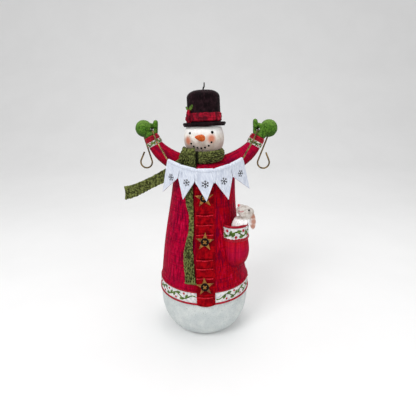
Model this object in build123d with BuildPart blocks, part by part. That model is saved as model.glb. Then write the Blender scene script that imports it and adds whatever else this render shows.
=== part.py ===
"""Standing snowman figure with raised arms, a hanging bunting, a scarf and a bunny in its pocket.

Frame: millimetres, +Z up, the face looks along -Y, origin at the centre of the flat base.
Pieces on the viewer's left have negative X and are named "left".
"""
import math
import os

from build123d import *

# ---------------------------------------------------------------- driving dimensions
BASE_FLAT_RADIUS = 26.0
HEM_Z = 45.6                     # parting line between the snow base and the coat
BASE_RADIUS = 47.6
TENON_RADIUS = 16.0
TENON_HEIGHT = 12.0

BAND_LOW_Z = 47.6                # white hem band
BAND_HIGH_Z = 58.4
BAND_SEAT_RADIUS = 46.4
BAND_RADIUS = 47.9
PIPING_CHAMFER = 0.6
COAT_SECTIONS = (                # height, radius, sideways drift of the turned coat
    (59.8, 47.0, 0.0),
    (80.0, 43.6, -1.2),
    (102.0, 40.1, -1.9),
    (130.0, 35.5, -1.7),
    (150.0, 33.0, -0.8),
    (170.0, 31.2, 0.0),
)
COAT_TOP_Z = 184.0
COAT_NECK_RADIUS = 6.0

PLACKET_PROUD = 1.7
PLACKET_TOP_Z = 176.5
PLACKET_WIDTH = 18.2
PLEAT_HEIGHTS = (172.0, 162.5, 135.8, 126.6, 117.3, 92.6, 84.2, 74.8, 55.6)
PLEAT_WIDTH = 15.6
PLEAT_HEIGHT = 1.1
PLEAT_DEPTH = 0.8

HEAD_RADIUS = 20.0
HEAD_MID_Z = 204.5
HEAD_LOWER = 20.5
HEAD_UPPER = 21.8
HEAD_TOP_Z = 216.0
DOWEL_RADIUS = 4.0

HAT_LEAN = 2.5                   # degrees, towards -X
HAT_Z = 216.4
BRIM_RADIUS = 20.3
BRIM_THICK = 2.2
BRIM_LIP = 1.5
CROWN_RADIUS = 16.4
CROWN_TOP_RADIUS = 16.0
CROWN_HEIGHT = 33.6
HAT_BAND_LOW = 4.6
HAT_BAND_HIGH = 12.8
HAT_BAND_RADIUS = 17.3

STAR_TIP = 9.4
STAR_WAIST = 3.5
STAR_THICK = 1.2
STAR_HEIGHTS = (151.6, 110.2, 66.6)
STAR_X = (0.3, 0.9, 0.9)
STAR_STANDOFF = 1.0
BUTTON_RADIUS = 3.9
BUTTON_THICK = 1.3

WIRE_RADIUS = 0.82
SWING_AXIS_Z = 205.8             # the bunting rocks about this line, parallel to X at y = 0
SADDLE_RADIUS = 6.0

ARM_MID_X = 0.5                  # the arms mirror about this plane
ARM_ROUTE = (                    # distance out from the mirror plane, height, radius
    (9.5, 174.5, 10.4),
    (19.5, 177.6, 10.2),
    (29.0, 181.6, 9.6),
    (37.7, 186.6, 8.9),
    (44.7, 192.4, 8.0),
    (49.1, 198.0, 7.1),
)
CUFF_LEAN = 27.0                 # degrees from vertical
CUFF_LENGTH = 8.0
CUFF_RADIUS = 7.6
MITTENS = {                      # ball centre, ball radius, web, thumb; X counted outwards
    "left": dict(side=-1, ball=(59.7, 214.1), radius=8.2, web=51.6, thumb=(48.0, 222.3)),
    "right": dict(side=1, ball=(64.0, 214.5), radius=8.6, web=53.6, thumb=(50.6, 223.6)),
}

BUNTING_PLAN = ((-34.4, -21.0), (-20.9, -32.9), (-6.5, -40.4), (9.6, -40.4), (23.8, -32.9), (36.9, -21.0))
BUNTING_TOP = (185.3, 181.2, 178.5, 178.7, 182.0, 186.9)
PENNANT_THICK = 1.2
PENNANT_GAP = 0.15
HEM_ROLL_RADIUS = 1.75

POCKET_ANGLE = 53.0              # round from the front towards +X
POCKET_RIM_Z = 122.5
POCKET_BAND_Z = 109.5
POCKET_SECTIONS = (              # height, distance of the centre, radial and sideways half sizes
    (79.5, 40.5, 7.0, 9.0),
    (85.5, 40.8, 10.6, 12.6),
    (97.0, 40.6, 12.8, 14.2),
    (109.5, 39.2, 12.0, 13.8),
    (122.5, 38.6, 12.0, 13.6),
)

os.makedirs("parts", exist_ok=True)


# ---------------------------------------------------------------- shared helpers
def finish(builder, name):
    """Labels a finished piece and writes its STEP file."""
    builder.part.label = name
    export_step(builder.part, f"parts/{name}.step")
    return builder.part


def front_prism(points, low_y=-70.0, high_y=0.0):
    """A prism along Y whose XZ outline is given."""
    with BuildPart() as prism:
        with BuildSketch(Plane(origin=(0, high_y, 0), x_dir=(1, 0, 0), z_dir=(0, -1, 0))):
            with BuildLine():
                Polyline(*points, close=True)
            make_face()
        extrude(amount=high_y - low_y)
    return prism.part


def coat_radius(z):
    """Radius of the coat at a height, straight between its sections."""
    for (z0, r0, _), (z1, r1, _) in zip(COAT_SECTIONS, COAT_SECTIONS[1:]):
        if z0 <= z <= z1:
            return r0 + (r1 - r0) * (z - z0) / (z1 - z0)
    return COAT_SECTIONS[0][1] if z < COAT_SECTIONS[0][0] else COAT_SECTIONS[-1][1]


def coat_drift(z):
    """Sideways drift of the coat at a height."""
    for (z0, _, x0), (z1, _, x1) in zip(COAT_SECTIONS, COAT_SECTIONS[1:]):
        if z0 <= z <= z1:
            return x0 + (x1 - x0) * (z - z0) / (z1 - z0)
    return 0.0


def coat_body(proud):
    """The coat's outer form, grown outwards by a margin."""
    shoulder_z, shoulder_radius, _ = COAT_SECTIONS[-1]
    with BuildPart() as body:
        with BuildSketch(Plane.XY.offset(HEM_Z)):
            Circle(BAND_SEAT_RADIUS + (0.0 if proud == 0 else 1.5 + proud * 0.6))
        extrude(amount=COAT_SECTIONS[0][0] - HEM_Z)
        for z, radius, drift in COAT_SECTIONS:
            with BuildSketch(Plane.XY.offset(z)):
                with Locations((drift, 0)):
                    Circle(radius + proud)
        loft()
        with BuildSketch(Plane.XZ):
            with BuildLine():
                outer = Line((0, shoulder_z), (shoulder_radius + proud, shoulder_z))
                EllipticalCenterArc((COAT_NECK_RADIUS, shoulder_z), shoulder_radius - COAT_NECK_RADIUS + proud,
                                    COAT_TOP_Z - shoulder_z + proud, start_angle=0, arc_size=90)
                Line((COAT_NECK_RADIUS, COAT_TOP_Z + proud), (0, COAT_TOP_Z + proud))
                Line((0, COAT_TOP_Z + proud), outer @ 0)
            make_face()
        revolve(axis=Axis.Z)
    return body.part


def head_radius(z):
    """Radius of the head at a height."""
    half = HEAD_UPPER if z > HEAD_MID_Z else HEAD_LOWER
    return HEAD_RADIUS * math.sqrt(1 - ((z - HEAD_MID_Z) / half) ** 2)


def on_head(x, z, lift=0.0):
    """The point on the face at x and z, moved outwards by lift."""
    radius = head_radius(z)
    y = -math.sqrt(radius ** 2 - x ** 2)
    grow = 1 + lift / radius
    return (x * grow, y * grow, z)


def bent_wire(points, radii):
    """Adds straight runs joined by tangent arcs, one radius at each inner point."""
    here = Vector(*points[0])
    for corner, after, radius in zip(points[1:-1], points[2:], radii):
        corner = Vector(*corner)
        arriving = (corner - here).normalized()
        leaving = (Vector(*after) - corner).normalized()
        turn = math.acos(arriving.dot(leaving))
        reach = radius * math.tan(turn / 2)
        start = corner - arriving * reach
        end = corner + leaving * reach
        inward = (leaving - arriving).normalized()
        middle = corner + inward * (radius / math.cos(turn / 2) - radius)
        Line(here, start)
        ThreePointArc(start, middle, end)
        here = end
    Line(here, Vector(*points[-1]))


def round_rod(start, end, radius):
    """A plain dowel between two points."""
    axis = Vector(*end) - Vector(*start)
    with BuildPart() as rod:
        with BuildSketch(Plane(origin=start, z_dir=axis.normalized())):
            Circle(radius)
        extrude(amount=axis.length)
    return rod.part


# ---------------------------------------------------------------- base, coat, placket and hem
def make_snow_base():
    height = HEM_Z - 4.0
    spread = BASE_RADIUS - BASE_FLAT_RADIUS
    rounds = []
    for step in range(0, 8):
        drop = math.sin(math.pi / 2 * step / 7)
        rounds.append((BASE_FLAT_RADIUS + spread * (1 - drop ** 2.3) ** (1 / 1.8), height * (1 - drop)))
    with BuildPart() as base:
        with BuildSketch(Plane.XZ):
            with BuildLine():
                Line((0, 0), rounds[-1])
                Spline(*reversed(rounds), tangents=((1, 0), (0, 1)), tangent_scalars=(1.0, 1.0))
                Line(rounds[0], (BASE_RADIUS - 0.3, HEM_Z))
                Line((BASE_RADIUS - 0.3, HEM_Z), (0, HEM_Z))
                Line((0, HEM_Z), (0, 0))
            make_face()
        revolve(axis=Axis.Z)
        with BuildSketch(Plane.XY.offset(HEM_Z)):
            Circle(TENON_RADIUS)
        extrude(amount=TENON_HEIGHT)
    return finish(base, "snow_base")


def placket_prism():
    """The strip's front outline; its lower end bulges a little over the snow."""
    half = PLACKET_WIDTH / 2
    with BuildPart() as prism:
        with BuildSketch(Plane(origin=(0, 0, 0), x_dir=(1, 0, 0), z_dir=(0, -1, 0))):
            with BuildLine():
                Line((2.1 - half, 46.2), (0.1 - half, PLACKET_TOP_Z))
                Line((0.1 - half, PLACKET_TOP_Z), (0.1 + half, PLACKET_TOP_Z))
                Line((0.1 + half, PLACKET_TOP_Z), (2.1 + half, 46.2))
                ThreePointArc((2.1 + half, 46.2), (2.1, 44.4), (2.1 - half, 46.2))
            make_face()
        extrude(amount=70)
    return prism.part


def pleat_slots():
    """The grooves under each pleat; none runs behind a star."""
    slots = []
    for z in PLEAT_HEIGHTS:
        radius = coat_radius(z) + PLACKET_PROUD - PLEAT_DEPTH
        ring = Pos(coat_drift(z), 0, z) * (Cylinder(radius + 6, PLEAT_HEIGHT) - Cylinder(radius, PLEAT_HEIGHT))
        strip = Pos(1.0, -40, z) * Box(PLEAT_WIDTH, 40, PLEAT_HEIGHT)
        slots.append(ring & strip)
    return slots


def make_placket(coat_form, base, prism):
    slots = pleat_slots()
    with BuildPart() as placket:
        add(coat_body(PLACKET_PROUD))
        with BuildSketch(Plane.XY.offset(43.0)):
            Circle(BAND_RADIUS + 1.1)
        extrude(amount=17.0)
        add(prism, mode=Mode.INTERSECT)
        add(coat_form, mode=Mode.SUBTRACT)
        add(base, mode=Mode.SUBTRACT)
        for slot in slots:
            add(slot, mode=Mode.SUBTRACT)
    return finish(placket, "front_placket")


def make_coat(base):
    with BuildPart() as coat:
        add(coat_body(0.0))
        with Locations((0, 0, COAT_TOP_Z - 4)):
            Cylinder(DOWEL_RADIUS, 20, mode=Mode.SUBTRACT)
        for side in (-1, 1):
            add(arm_dowel(side), mode=Mode.SUBTRACT)
        add(base, mode=Mode.SUBTRACT)
    return finish(coat, "coat")


def make_hem_band(prism):
    with BuildPart() as band:
        with BuildSketch(Plane.XY.offset(BAND_LOW_Z)):
            Circle(BAND_RADIUS)
            Circle(BAND_SEAT_RADIUS, mode=Mode.SUBTRACT)
        extrude(amount=BAND_HIGH_Z - BAND_LOW_Z)
        add(prism, mode=Mode.SUBTRACT)
    return finish(band, "hem_band")


def make_piping(name, low_z, high_z, radius, prism):
    """A ring with a chamfered nose above or below the hem band."""
    with BuildPart() as piping:
        with BuildSketch(Plane.XY.offset(low_z)):
            Circle(radius)
            Circle(BAND_SEAT_RADIUS, mode=Mode.SUBTRACT)
        extrude(amount=high_z - low_z)
        rims = piping.edges().filter_by(GeomType.CIRCLE)
        chamfer(rims.filter_by(lambda rim: rim.radius > radius - 0.1), length=PIPING_CHAMFER)
        add(prism, mode=Mode.SUBTRACT)
    return finish(piping, name)


# ---------------------------------------------------------------- arms, cuffs and mittens
def arm_point(side, out, z):
    return (ARM_MID_X + side * out, 0.0, z)


def cuff_direction(side):
    lean = math.radians(CUFF_LEAN)
    return (side * math.sin(lean), 0.0, math.cos(lean))


def cuff_plane(side, distance):
    """A plane across the forearm, a distance beyond the sleeve's end."""
    out, z, _ = ARM_ROUTE[-1]
    start = Vector(*arm_point(side, out, z))
    direction = Vector(*cuff_direction(side))
    origin = start + direction * distance
    return Plane(origin=origin, x_dir=(0, 1, 0), z_dir=direction)


def arm_dowel(side):
    """A peg that carries each sleeve on the coat."""
    return round_rod(arm_point(side, 14.0, 176.0), arm_point(side, 36.0, 185.4), 3.0)


def make_arm_dowel(side, name):
    with BuildPart() as dowel:
        add(arm_dowel(side))
    return finish(dowel, name)


def make_sleeve(side, name, coat):
    with BuildPart() as sleeve:
        for index, (out, z, radius) in enumerate(ARM_ROUTE):
            before = ARM_ROUTE[max(index - 1, 0)]
            after = ARM_ROUTE[min(index + 1, len(ARM_ROUTE) - 1)]
            along = (side * (after[0] - before[0]), 0.0, after[1] - before[1])
            if index == len(ARM_ROUTE) - 1:
                along = cuff_direction(side)
            with BuildSketch(Plane(origin=arm_point(side, out, z), x_dir=(0, 1, 0), z_dir=along)):
                Circle(radius)
        loft()
        add(coat, mode=Mode.SUBTRACT)
        add(arm_dowel(side), mode=Mode.SUBTRACT)
    return finish(sleeve, name)


def make_cuff(side, name):
    with BuildPart() as cuff:
        with BuildSketch(cuff_plane(side, 0.0)):
            Circle(CUFF_RADIUS)
        extrude(amount=CUFF_LENGTH)
        fillet(cuff.faces().sort_by(Axis.Z)[0].edges(), radius=1.0)
    return finish(cuff, name)


def make_cuff_piping(side, name, cuff):
    with BuildPart() as piping:
        with BuildSketch(cuff_plane(side, CUFF_LENGTH)):
            Circle(7.3)
        extrude(amount=1.8)
        fillet(piping.edges(), radius=0.8)
        add(cuff, mode=Mode.SUBTRACT)
    return finish(piping, name)


def grip_groove(low_x, high_x, top, front):
    """The ring-shaped groove over the wrist in which the bunting wire rocks."""
    middle = (low_x + high_x) / 2
    width = abs(high_x - low_x)
    turned = Pos(middle, 0, SWING_AXIS_Z) * Rot(0, 90, 0)
    ring = turned * (Cylinder(top, width) - Cylinder(SADDLE_RADIUS, width))
    half = Pos(middle, -10 if front else 10, SWING_AXIS_Z) * Box(width + 1, 20, 30)
    return ring & half


def make_mitten(which, name, piping):
    spec = MITTENS[which]
    side = spec["side"]
    ball_x, ball_z = side * spec["ball"][0], spec["ball"][1]
    thumb_x, thumb_z = side * spec["thumb"][0], spec["thumb"][1]
    web_x = side * spec["web"]
    wrist = cuff_plane(side, CUFF_LENGTH + 1.8)
    front_groove = grip_groove(web_x - side * 3.6, web_x + side * 1.3, 9.5, True)
    back_groove = grip_groove(web_x - side * 1.3, web_x + side * 4.8, 10.0, False)
    with BuildPart() as mitten:
        with BuildSketch(wrist):
            Circle(6.0)
        with BuildSketch(Plane(origin=(ball_x - side * 4.0, 0, ball_z - 2.8), x_dir=(0, 1, 0),
                               z_dir=(side * 0.82, 0, 0.57))):
            Circle(5.6)
        loft()
        with Locations((ball_x, 0, ball_z)):
            Sphere(spec["radius"])
        with BuildSketch(Plane(origin=(side * (spec["thumb"][0] + 1.3), 1.0, 208.6), x_dir=(0, 1, 0),
                               z_dir=(0, 0, 1))):
            Circle(3.0)
        with BuildSketch(Plane(origin=(thumb_x, 1.0, thumb_z - 2.4), x_dir=(0, 1, 0), z_dir=(0, 0, 1))):
            Circle(2.4)
        loft()
        with Locations((thumb_x, 1.0, thumb_z - 2.4)):
            Sphere(2.4)
        with Locations((web_x + side * 0.9, 0.5, ball_z + 2.6)):
            Sphere(2.6)
        add(front_groove, mode=Mode.SUBTRACT)
        add(back_groove, mode=Mode.SUBTRACT)
        add(piping, mode=Mode.SUBTRACT)
    return finish(mitten, name)


# ---------------------------------------------------------------- head, face and hat
def make_head():
    """One turned ball, its neck bore turned with it and its top cut flat under the hat."""
    low_z = HEAD_MID_Z - HEAD_LOWER * math.sqrt(1 - (DOWEL_RADIUS / HEAD_RADIUS) ** 2)
    heights = (low_z, low_z + 0.25, low_z + 1.0, low_z + 2.8, low_z + 6.0, 195.0, 200.0, HEAD_MID_Z, 208.5,
               212.5, HEAD_TOP_Z)
    outline = [(head_radius(z), z) for z in heights]
    bore_high_z = COAT_TOP_Z + 14.0
    with BuildPart() as head:
        with BuildSketch(Plane.XZ):
            with BuildLine():
                Spline(outline)
                Polyline(outline[-1], (0, HEAD_TOP_Z), (0, bore_high_z), (DOWEL_RADIUS, bore_high_z), outline[0])
            make_face()
        revolve(axis=Axis.Z)
        add(hat_dowel(), mode=Mode.SUBTRACT)
    return finish(head, "head")


def make_neck_dowel():
    with BuildPart() as dowel:
        with Locations((0, 0, COAT_TOP_Z)):
            Cylinder(DOWEL_RADIUS, 26)
    return finish(dowel, "neck_dowel")


def make_nose(head):
    root = Vector(-0.6, -16.0, 205.4)
    tip = Vector(-7.0, -29.4, 207.2)
    along = (tip - root).normalized()
    with BuildPart() as nose:
        with BuildSketch(Plane(origin=root, z_dir=along)):
            Circle(3.7)
        with BuildSketch(Plane(origin=(root + along * 8.0), z_dir=along)):
            Circle(2.7)
        with BuildSketch(Plane(origin=tip, z_dir=along)):
            Circle(1.1)
        loft()
        with Locations(tip):
            Sphere(1.1)
        add(head, mode=Mode.SUBTRACT)
    return finish(nose, "nose")


def make_beads(name, head, beads):
    """Small round beads glued to the face: x, height, radius."""
    with BuildPart() as group:
        for x, z, radius in beads:
            with Locations(on_head(x, z, radius * 0.15)):
                Sphere(radius)
        add(head, mode=Mode.SUBTRACT)
    return finish(group, name)


def hat_point(x, y, height):
    """Turns a place in the leaning hat into the figure's frame."""
    lean = math.radians(HAT_LEAN)
    return (0.4 + x * math.cos(lean) - height * math.sin(lean), y,
            HAT_Z + x * math.sin(lean) + height * math.cos(lean))


def hat_profile_plane():
    lean = math.radians(HAT_LEAN)
    return Plane(origin=(0.4, 0, HAT_Z), x_dir=(math.cos(lean), 0, math.sin(lean)), z_dir=(0, -1, 0))


def hat_axis():
    lean = math.radians(HAT_LEAN)
    return Axis((0.4, 0, HAT_Z), (-math.sin(lean), 0, math.cos(lean)))


def hat_dowel():
    return round_rod(hat_point(0, 0, -8.0), hat_point(0, 0, 14.0), DOWEL_RADIUS)


def make_hat_brim(head):
    lip_z = BRIM_THICK + BRIM_LIP * 0.6
    with BuildPart() as brim:
        with BuildSketch(hat_profile_plane()):
            with BuildLine():
                Polyline((0, 0), (BRIM_RADIUS, 0), (BRIM_RADIUS, BRIM_THICK), (0, BRIM_THICK), close=True)
            make_face()
            with Locations((BRIM_RADIUS - BRIM_LIP * 0.4, lip_z - BRIM_LIP * 0.5)):
                Circle(BRIM_LIP)
        revolve(axis=hat_axis())
        add(hat_dowel(), mode=Mode.SUBTRACT)
        add(head, mode=Mode.SUBTRACT)
    return finish(brim, "hat_brim")


def make_hat_crown():
    with BuildPart() as crown:
        with BuildSketch(hat_profile_plane()):
            with BuildLine():
                Line((0, BRIM_THICK), (CROWN_RADIUS, BRIM_THICK))
                Line((CROWN_RADIUS, BRIM_THICK), (CROWN_TOP_RADIUS, CROWN_HEIGHT - 7.0))
                Spline((CROWN_TOP_RADIUS, CROWN_HEIGHT - 7.0), (CROWN_TOP_RADIUS - 3.2, CROWN_HEIGHT - 2.0),
                       (0, CROWN_HEIGHT), tangents=((-0.05, 1), (-1, 0)))
                Line((0, CROWN_HEIGHT), (0, BRIM_THICK))
            make_face()
        revolve(axis=hat_axis())
        add(hat_dowel(), mode=Mode.SUBTRACT)
        add(eye_stem(), mode=Mode.SUBTRACT)
    return finish(crown, "hat_crown")


def make_hat_band(crown):
    with BuildPart() as band:
        with BuildSketch(hat_profile_plane()):
            with BuildLine():
                Polyline((8, HAT_BAND_LOW), (HAT_BAND_RADIUS, HAT_BAND_LOW), (HAT_BAND_RADIUS, HAT_BAND_HIGH),
                         (8, HAT_BAND_HIGH), close=True)
            make_face()
            fillet(vertices().group_by(Axis.X)[-1], radius=0.5)
        revolve(axis=hat_axis())
        add(crown, mode=Mode.SUBTRACT)
        add(hat_dowel(), mode=Mode.SUBTRACT)
    return finish(band, "hat_band")


def hat_side_plane(turn, distance, height):
    """A plane facing outwards from the hat, turned from the front towards -X."""
    angle = math.radians(turn)
    origin = hat_point(-math.sin(angle) * distance, -math.cos(angle) * distance, height)
    return Plane(origin=origin, x_dir=(math.cos(angle), -math.sin(angle), 0),
                 z_dir=(-math.sin(angle), -math.cos(angle), 0))


def make_band_knot(crown, band, brim):
    with BuildPart() as knot:
        with BuildSketch(hat_side_plane(56.0, 14.0, 6.6)):
            RectangleRounded(4.6, 11.4, 1.6)
        extrude(amount=5.2)
        fillet(knot.faces().sort_by(Axis.Y)[0].edges(), radius=0.9)
        add(crown, mode=Mode.SUBTRACT)
        add(band, mode=Mode.SUBTRACT)
        add(brim, mode=Mode.SUBTRACT)
    return finish(knot, "hat_band_knot")


def make_holly_leaves(clear_of):
    with BuildPart() as leaves:
        for turn, roll in ((66.0, 62.0), (46.0, -42.0)):
            plane = hat_side_plane(turn, 15.4, 14.6).rotated((0, 0, roll))
            with BuildSketch(plane):
                with BuildLine():
                    ThreePointArc((0, -2.6), (1.7, 0.3), (0, 3.6))
                    ThreePointArc((0, 3.6), (-1.7, 0.3), (0, -2.6))
                make_face()
            extrude(amount=2.2)
        for neighbour in clear_of:
            add(neighbour, mode=Mode.SUBTRACT)
    return finish(leaves, "holly_leaves")


def make_holly_berries(clear_of):
    with BuildPart() as berries:
        for turn, height in ((62.0, 13.2), (55.0, 13.6), (58.5, 11.9)):
            angle = math.radians(turn)
            with Locations(hat_point(-math.sin(angle) * 17.7, -math.cos(angle) * 17.7, height)):
                Sphere(1.05)
        for neighbour in clear_of:
            add(neighbour, mode=Mode.SUBTRACT)
    return finish(berries, "holly_berries")


EYE_FOOT = (-2.6, 0.0, 242.0)
EYE_RING = (0.2, 0.0, 254.6)


def eye_stem():
    return round_rod(EYE_FOOT, (EYE_RING[0] - 0.55, 0.0, EYE_RING[2] - 1.6), 0.7)


def make_hanging_eye():
    with BuildPart() as eye:
        add(eye_stem())
        with BuildSketch(Plane(origin=(EYE_RING[0], 1.8, EYE_RING[2]), x_dir=(1, 0, 0), z_dir=(0, 0, 1))):
            Circle(0.6)
        revolve(axis=Axis(EYE_RING, (1, 0, 0)))
    return finish(eye, "hanging_eye")


# ---------------------------------------------------------------- scarf
def make_scarf_wrap(head, coat_form, sleeves):
    with BuildPart() as wrap:
        for z, grow in ((182.6, -2.6), (185.0, -0.4), (188.5, 0.6), (192.0, -0.6), (194.6, -3.0)):
            with BuildSketch(Plane.XY.offset(z)):
                with Locations((-1.3, -1.6)):
                    Ellipse(20.4 + grow, 22.0 + grow)
        loft()
        add(head, mode=Mode.SUBTRACT)
        add(coat_form, mode=Mode.SUBTRACT)
        add(neck_fill(), mode=Mode.SUBTRACT)
        for sleeve in sleeves:
            add(sleeve, mode=Mode.SUBTRACT)
    return finish(wrap, "scarf_wrap")


def neck_fill():
    """The room that the neck dowel takes."""
    return round_rod((0, 0, COAT_TOP_Z - 20), (0, 0, COAT_TOP_Z + 20), DOWEL_RADIUS)


def make_scarf_fold(keep_clear):
    outline = ((-20.4, 197.0), (-8.0, 197.0), (-7.4, 178.0), (-19.0, 175.5), (-25.4, 184.0))
    with BuildPart() as fold:
        with BuildSketch(Plane.XY.offset(174.0)):
            with Locations((-1.3, -2.6)):
                Ellipse(24.6, 26.2)
                Ellipse(18.0, 19.6, mode=Mode.SUBTRACT)
        extrude(amount=24.0)
        add(front_prism(outline), mode=Mode.INTERSECT)
        for neighbour in keep_clear:
            add(neighbour, mode=Mode.SUBTRACT)
    return finish(fold, "scarf_fold")


def make_front_tail(keep_clear):
    left = ((-19.0, 180.0), (-18.3, 149.7), (-15.3, 135.0), (-15.2, 121.0), (-18.0, 108.3), (-20.3, 94.0),
            (-19.6, 80.0), (-18.8, 68.0))
    right = ((-7.6, 68.6), (-8.6, 80.0), (-9.4, 95.0), (-10.2, 109.0), (-9.8, 121.4), (-9.8, 135.4),
             (-9.9, 150.0), (-10.0, 180.0))
    with BuildPart() as tail:
        add(coat_body(3.2))
        with BuildPart(mode=Mode.PRIVATE) as prism:
            with BuildSketch(Plane(origin=(0, 0, 0), x_dir=(1, 0, 0), z_dir=(0, -1, 0))):
                with BuildLine():
                    Spline(*left)
                    Line(left[-1], right[0])
                    Spline(*right)
                    Line(right[-1], left[0])
                make_face()
            extrude(amount=70)
        add(prism.part, mode=Mode.INTERSECT)
        for neighbour in keep_clear:
            add(neighbour, mode=Mode.SUBTRACT)
    return finish(tail, "scarf_front_tail")


def make_side_tail(keep_clear):
    centre = ((-20.5, -26.2), (-30.0, -14.8), (-43.0, -9.6), (-60.0, -8.2), (-83.2, -8.0))
    outline = ((-20.0, 189.5), (-41.0, 174.0), (-60.0, 164.0), (-79.0, 158.6), (-82.6, 153.0), (-82.6, 143.0),
               (-77.0, 143.0), (-58.0, 152.8), (-40.0, 161.4), (-20.0, 172.0))
    with BuildPart() as tail:
        with BuildSketch(Plane.XY.offset(130.0)):
            with BuildLine() as spine:
                Spline(*centre)
            trace(line_width=3.2)
        extrude(amount=70.0)
        add(front_prism(outline), mode=Mode.INTERSECT)
        for neighbour in keep_clear:
            add(neighbour, mode=Mode.SUBTRACT)
    return finish(tail, "scarf_side_tail")


# ---------------------------------------------------------------- stars and buttons
def star_plane(index, lift):
    """Plane on the placket's surface at a star, leaning back with the coat."""
    z = STAR_HEIGHTS[index]
    slope = math.atan((coat_radius(z - 8) - coat_radius(z + 8)) / 16)
    radius = coat_radius(z) + PLACKET_PROUD
    normal = (0.0, -math.cos(slope), math.sin(slope))
    origin = (STAR_X[index], -radius, z)
    return Plane(origin=origin, x_dir=(1, 0, 0), z_dir=normal).offset(lift)


def make_star(index):
    corners = []
    for step in range(10):
        reach = STAR_TIP if step % 2 == 0 else STAR_WAIST
        angle = math.radians(90 + 36 * step)
        corners.append((reach * math.cos(angle), reach * math.sin(angle)))
    with BuildPart() as star:
        with BuildSketch(star_plane(index, STAR_STANDOFF)):
            with BuildLine():
                Polyline(*corners, close=True)
            make_face()
        extrude(amount=STAR_THICK)
        chamfer(star.faces().sort_by(Axis.Y)[0].edges(), length=0.45)
    return finish(star, f"star_{index + 1}")


def make_button(index):
    with BuildPart() as button:
        with BuildSketch(star_plane(index, STAR_STANDOFF + STAR_THICK)):
            Circle(BUTTON_RADIUS)
        extrude(amount=BUTTON_THICK)
        fillet(button.faces().sort_by(Axis.Y)[0].edges(), radius=0.6)
    return finish(button, f"button_{index + 1}")


def make_star_pins(placket, coat_form):
    with BuildPart() as pins:
        for index in range(len(STAR_HEIGHTS)):
            with BuildSketch(star_plane(index, STAR_STANDOFF)):
                Circle(1.6)
            extrude(amount=-3.0)
        add(placket, mode=Mode.SUBTRACT)
        add(coat_form, mode=Mode.SUBTRACT)
    return finish(pins, "star_pins")


def make_button_threads():
    with BuildPart() as threads:
        for index in range(len(STAR_HEIGHTS)):
            for turn in (45, -45):
                with BuildSketch(star_plane(index, STAR_STANDOFF + STAR_THICK + BUTTON_THICK)):
                    SlotOverall(4.4, 0.7, rotation=turn)
                extrude(amount=0.5)
    return finish(threads, "button_threads")


# ---------------------------------------------------------------- bunting
def hook_points(side, top, inner, outer, low_z, end):
    """Corner points of a teardrop hook behind the mitten; X counted outwards."""
    return ((side * top[0], 10.6, top[1]), (side * inner, 8.0, low_z), (side * outer, 8.0, low_z),
            (side * end[0], 8.0, end[1]))


def make_banner_wire():
    left_top = ((-34.4, -21.0, BUNTING_TOP[0]), (-46.9, -10.4, 204.4), (-51.0, -3.9, 213.0),
                (-52.3, 3.9, 213.0), (-55.4, 9.6, 211.0))
    right_top = ((36.9, -21.0, BUNTING_TOP[5]), (48.3, -10.4, 204.4), (52.9, -3.9, 213.0),
                 (54.2, 3.9, 213.0), (57.8, 9.6, 211.0))
    left_hook = hook_points(-1, (62.6, 208.0), 52.4, 69.6, 174.0, (61.9, 190.5))
    right_hook = hook_points(1, (65.9, 207.4), 53.2, 71.0, 173.6, (63.9, 190.0))
    middle = [(x, y, z) for (x, y), z in zip(BUNTING_PLAN[1:-1], BUNTING_TOP[1:-1])]
    points = (*reversed(left_hook), *reversed(left_top), *middle, *right_top, *right_hook)
    hook_radii = (5.9, 5.9, 2.6)
    web_radii = (3.0, 6.9, 6.9)
    strung_radii = (6.0,) * len(BUNTING_PLAN)
    radii = (*hook_radii, *web_radii, 9.0, *strung_radii, 9.0, *reversed(web_radii), *reversed(hook_radii))
    with BuildLine() as route:
        bent_wire(points, radii)
    with BuildPart() as wire:
        for edge in route.edges():
            with BuildSketch(Plane(origin=edge @ 0, z_dir=edge % 0)):
                Circle(WIRE_RADIUS)
            sweep(path=edge)
    length = sum(edge.length for edge in route.edges())
    print("banner wire", round(length, 1), "mm, volume ratio",
          round(wire.part.volume / (length * math.pi * WIRE_RADIUS ** 2), 4))
    return finish(wire, "banner_wire")


PENNANTS = (                     # outline below the hem roll, along the pennant and height
    ((-0.6, 184.6), (2.4, 186.6), (17.7, 181.3), (13.9, 170.0), (-9.0, 153.2)),
    ((0.0, 181.2), (16.0, 178.5), (14.3, 167.9), (1.4, 149.8), (-3.2, 170.0)),
    ((0.0, 178.5), (16.1, 178.7), (16.1, 168.6), (9.1, 149.4), (-1.5, 168.0)),
    ((0.0, 178.7), (15.8, 181.9), (19.2, 171.4), (15.5, 149.6), (0.0, 168.6)),
    ((0.0, 182.2), (15.2, 187.8), (18.6, 185.4), (29.2, 155.9), (4.2, 171.2)),
)


def make_pennant(index, wire):
    (x0, y0), (x1, y1) = BUNTING_PLAN[index], BUNTING_PLAN[index + 1]
    length = math.hypot(x1 - x0, y1 - y0)
    along = ((x1 - x0) / length, (y1 - y0) / length, 0.0)
    outward = (along[1], -along[0], 0.0)
    face = Plane(origin=(x0, y0, 0.0), x_dir=along, z_dir=outward)
    start = Vector(x0, y0, BUNTING_TOP[index])
    end = Vector(x1, y1, BUNTING_TOP[index + 1])
    run = (end - start).normalized()
    with BuildPart() as pennant:
        with BuildSketch(face.offset(-PENNANT_THICK / 2)):
            with BuildLine():
                Polyline(*PENNANTS[index], close=True)
            make_face()
            offset(amount=-PENNANT_GAP)
        extrude(amount=PENNANT_THICK)
        add(round_rod((start + run * 1.2), (end - run * 1.2), HEM_ROLL_RADIUS))
        add(wire, mode=Mode.SUBTRACT)
    return finish(pennant, f"pennant_{index + 1}")


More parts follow.
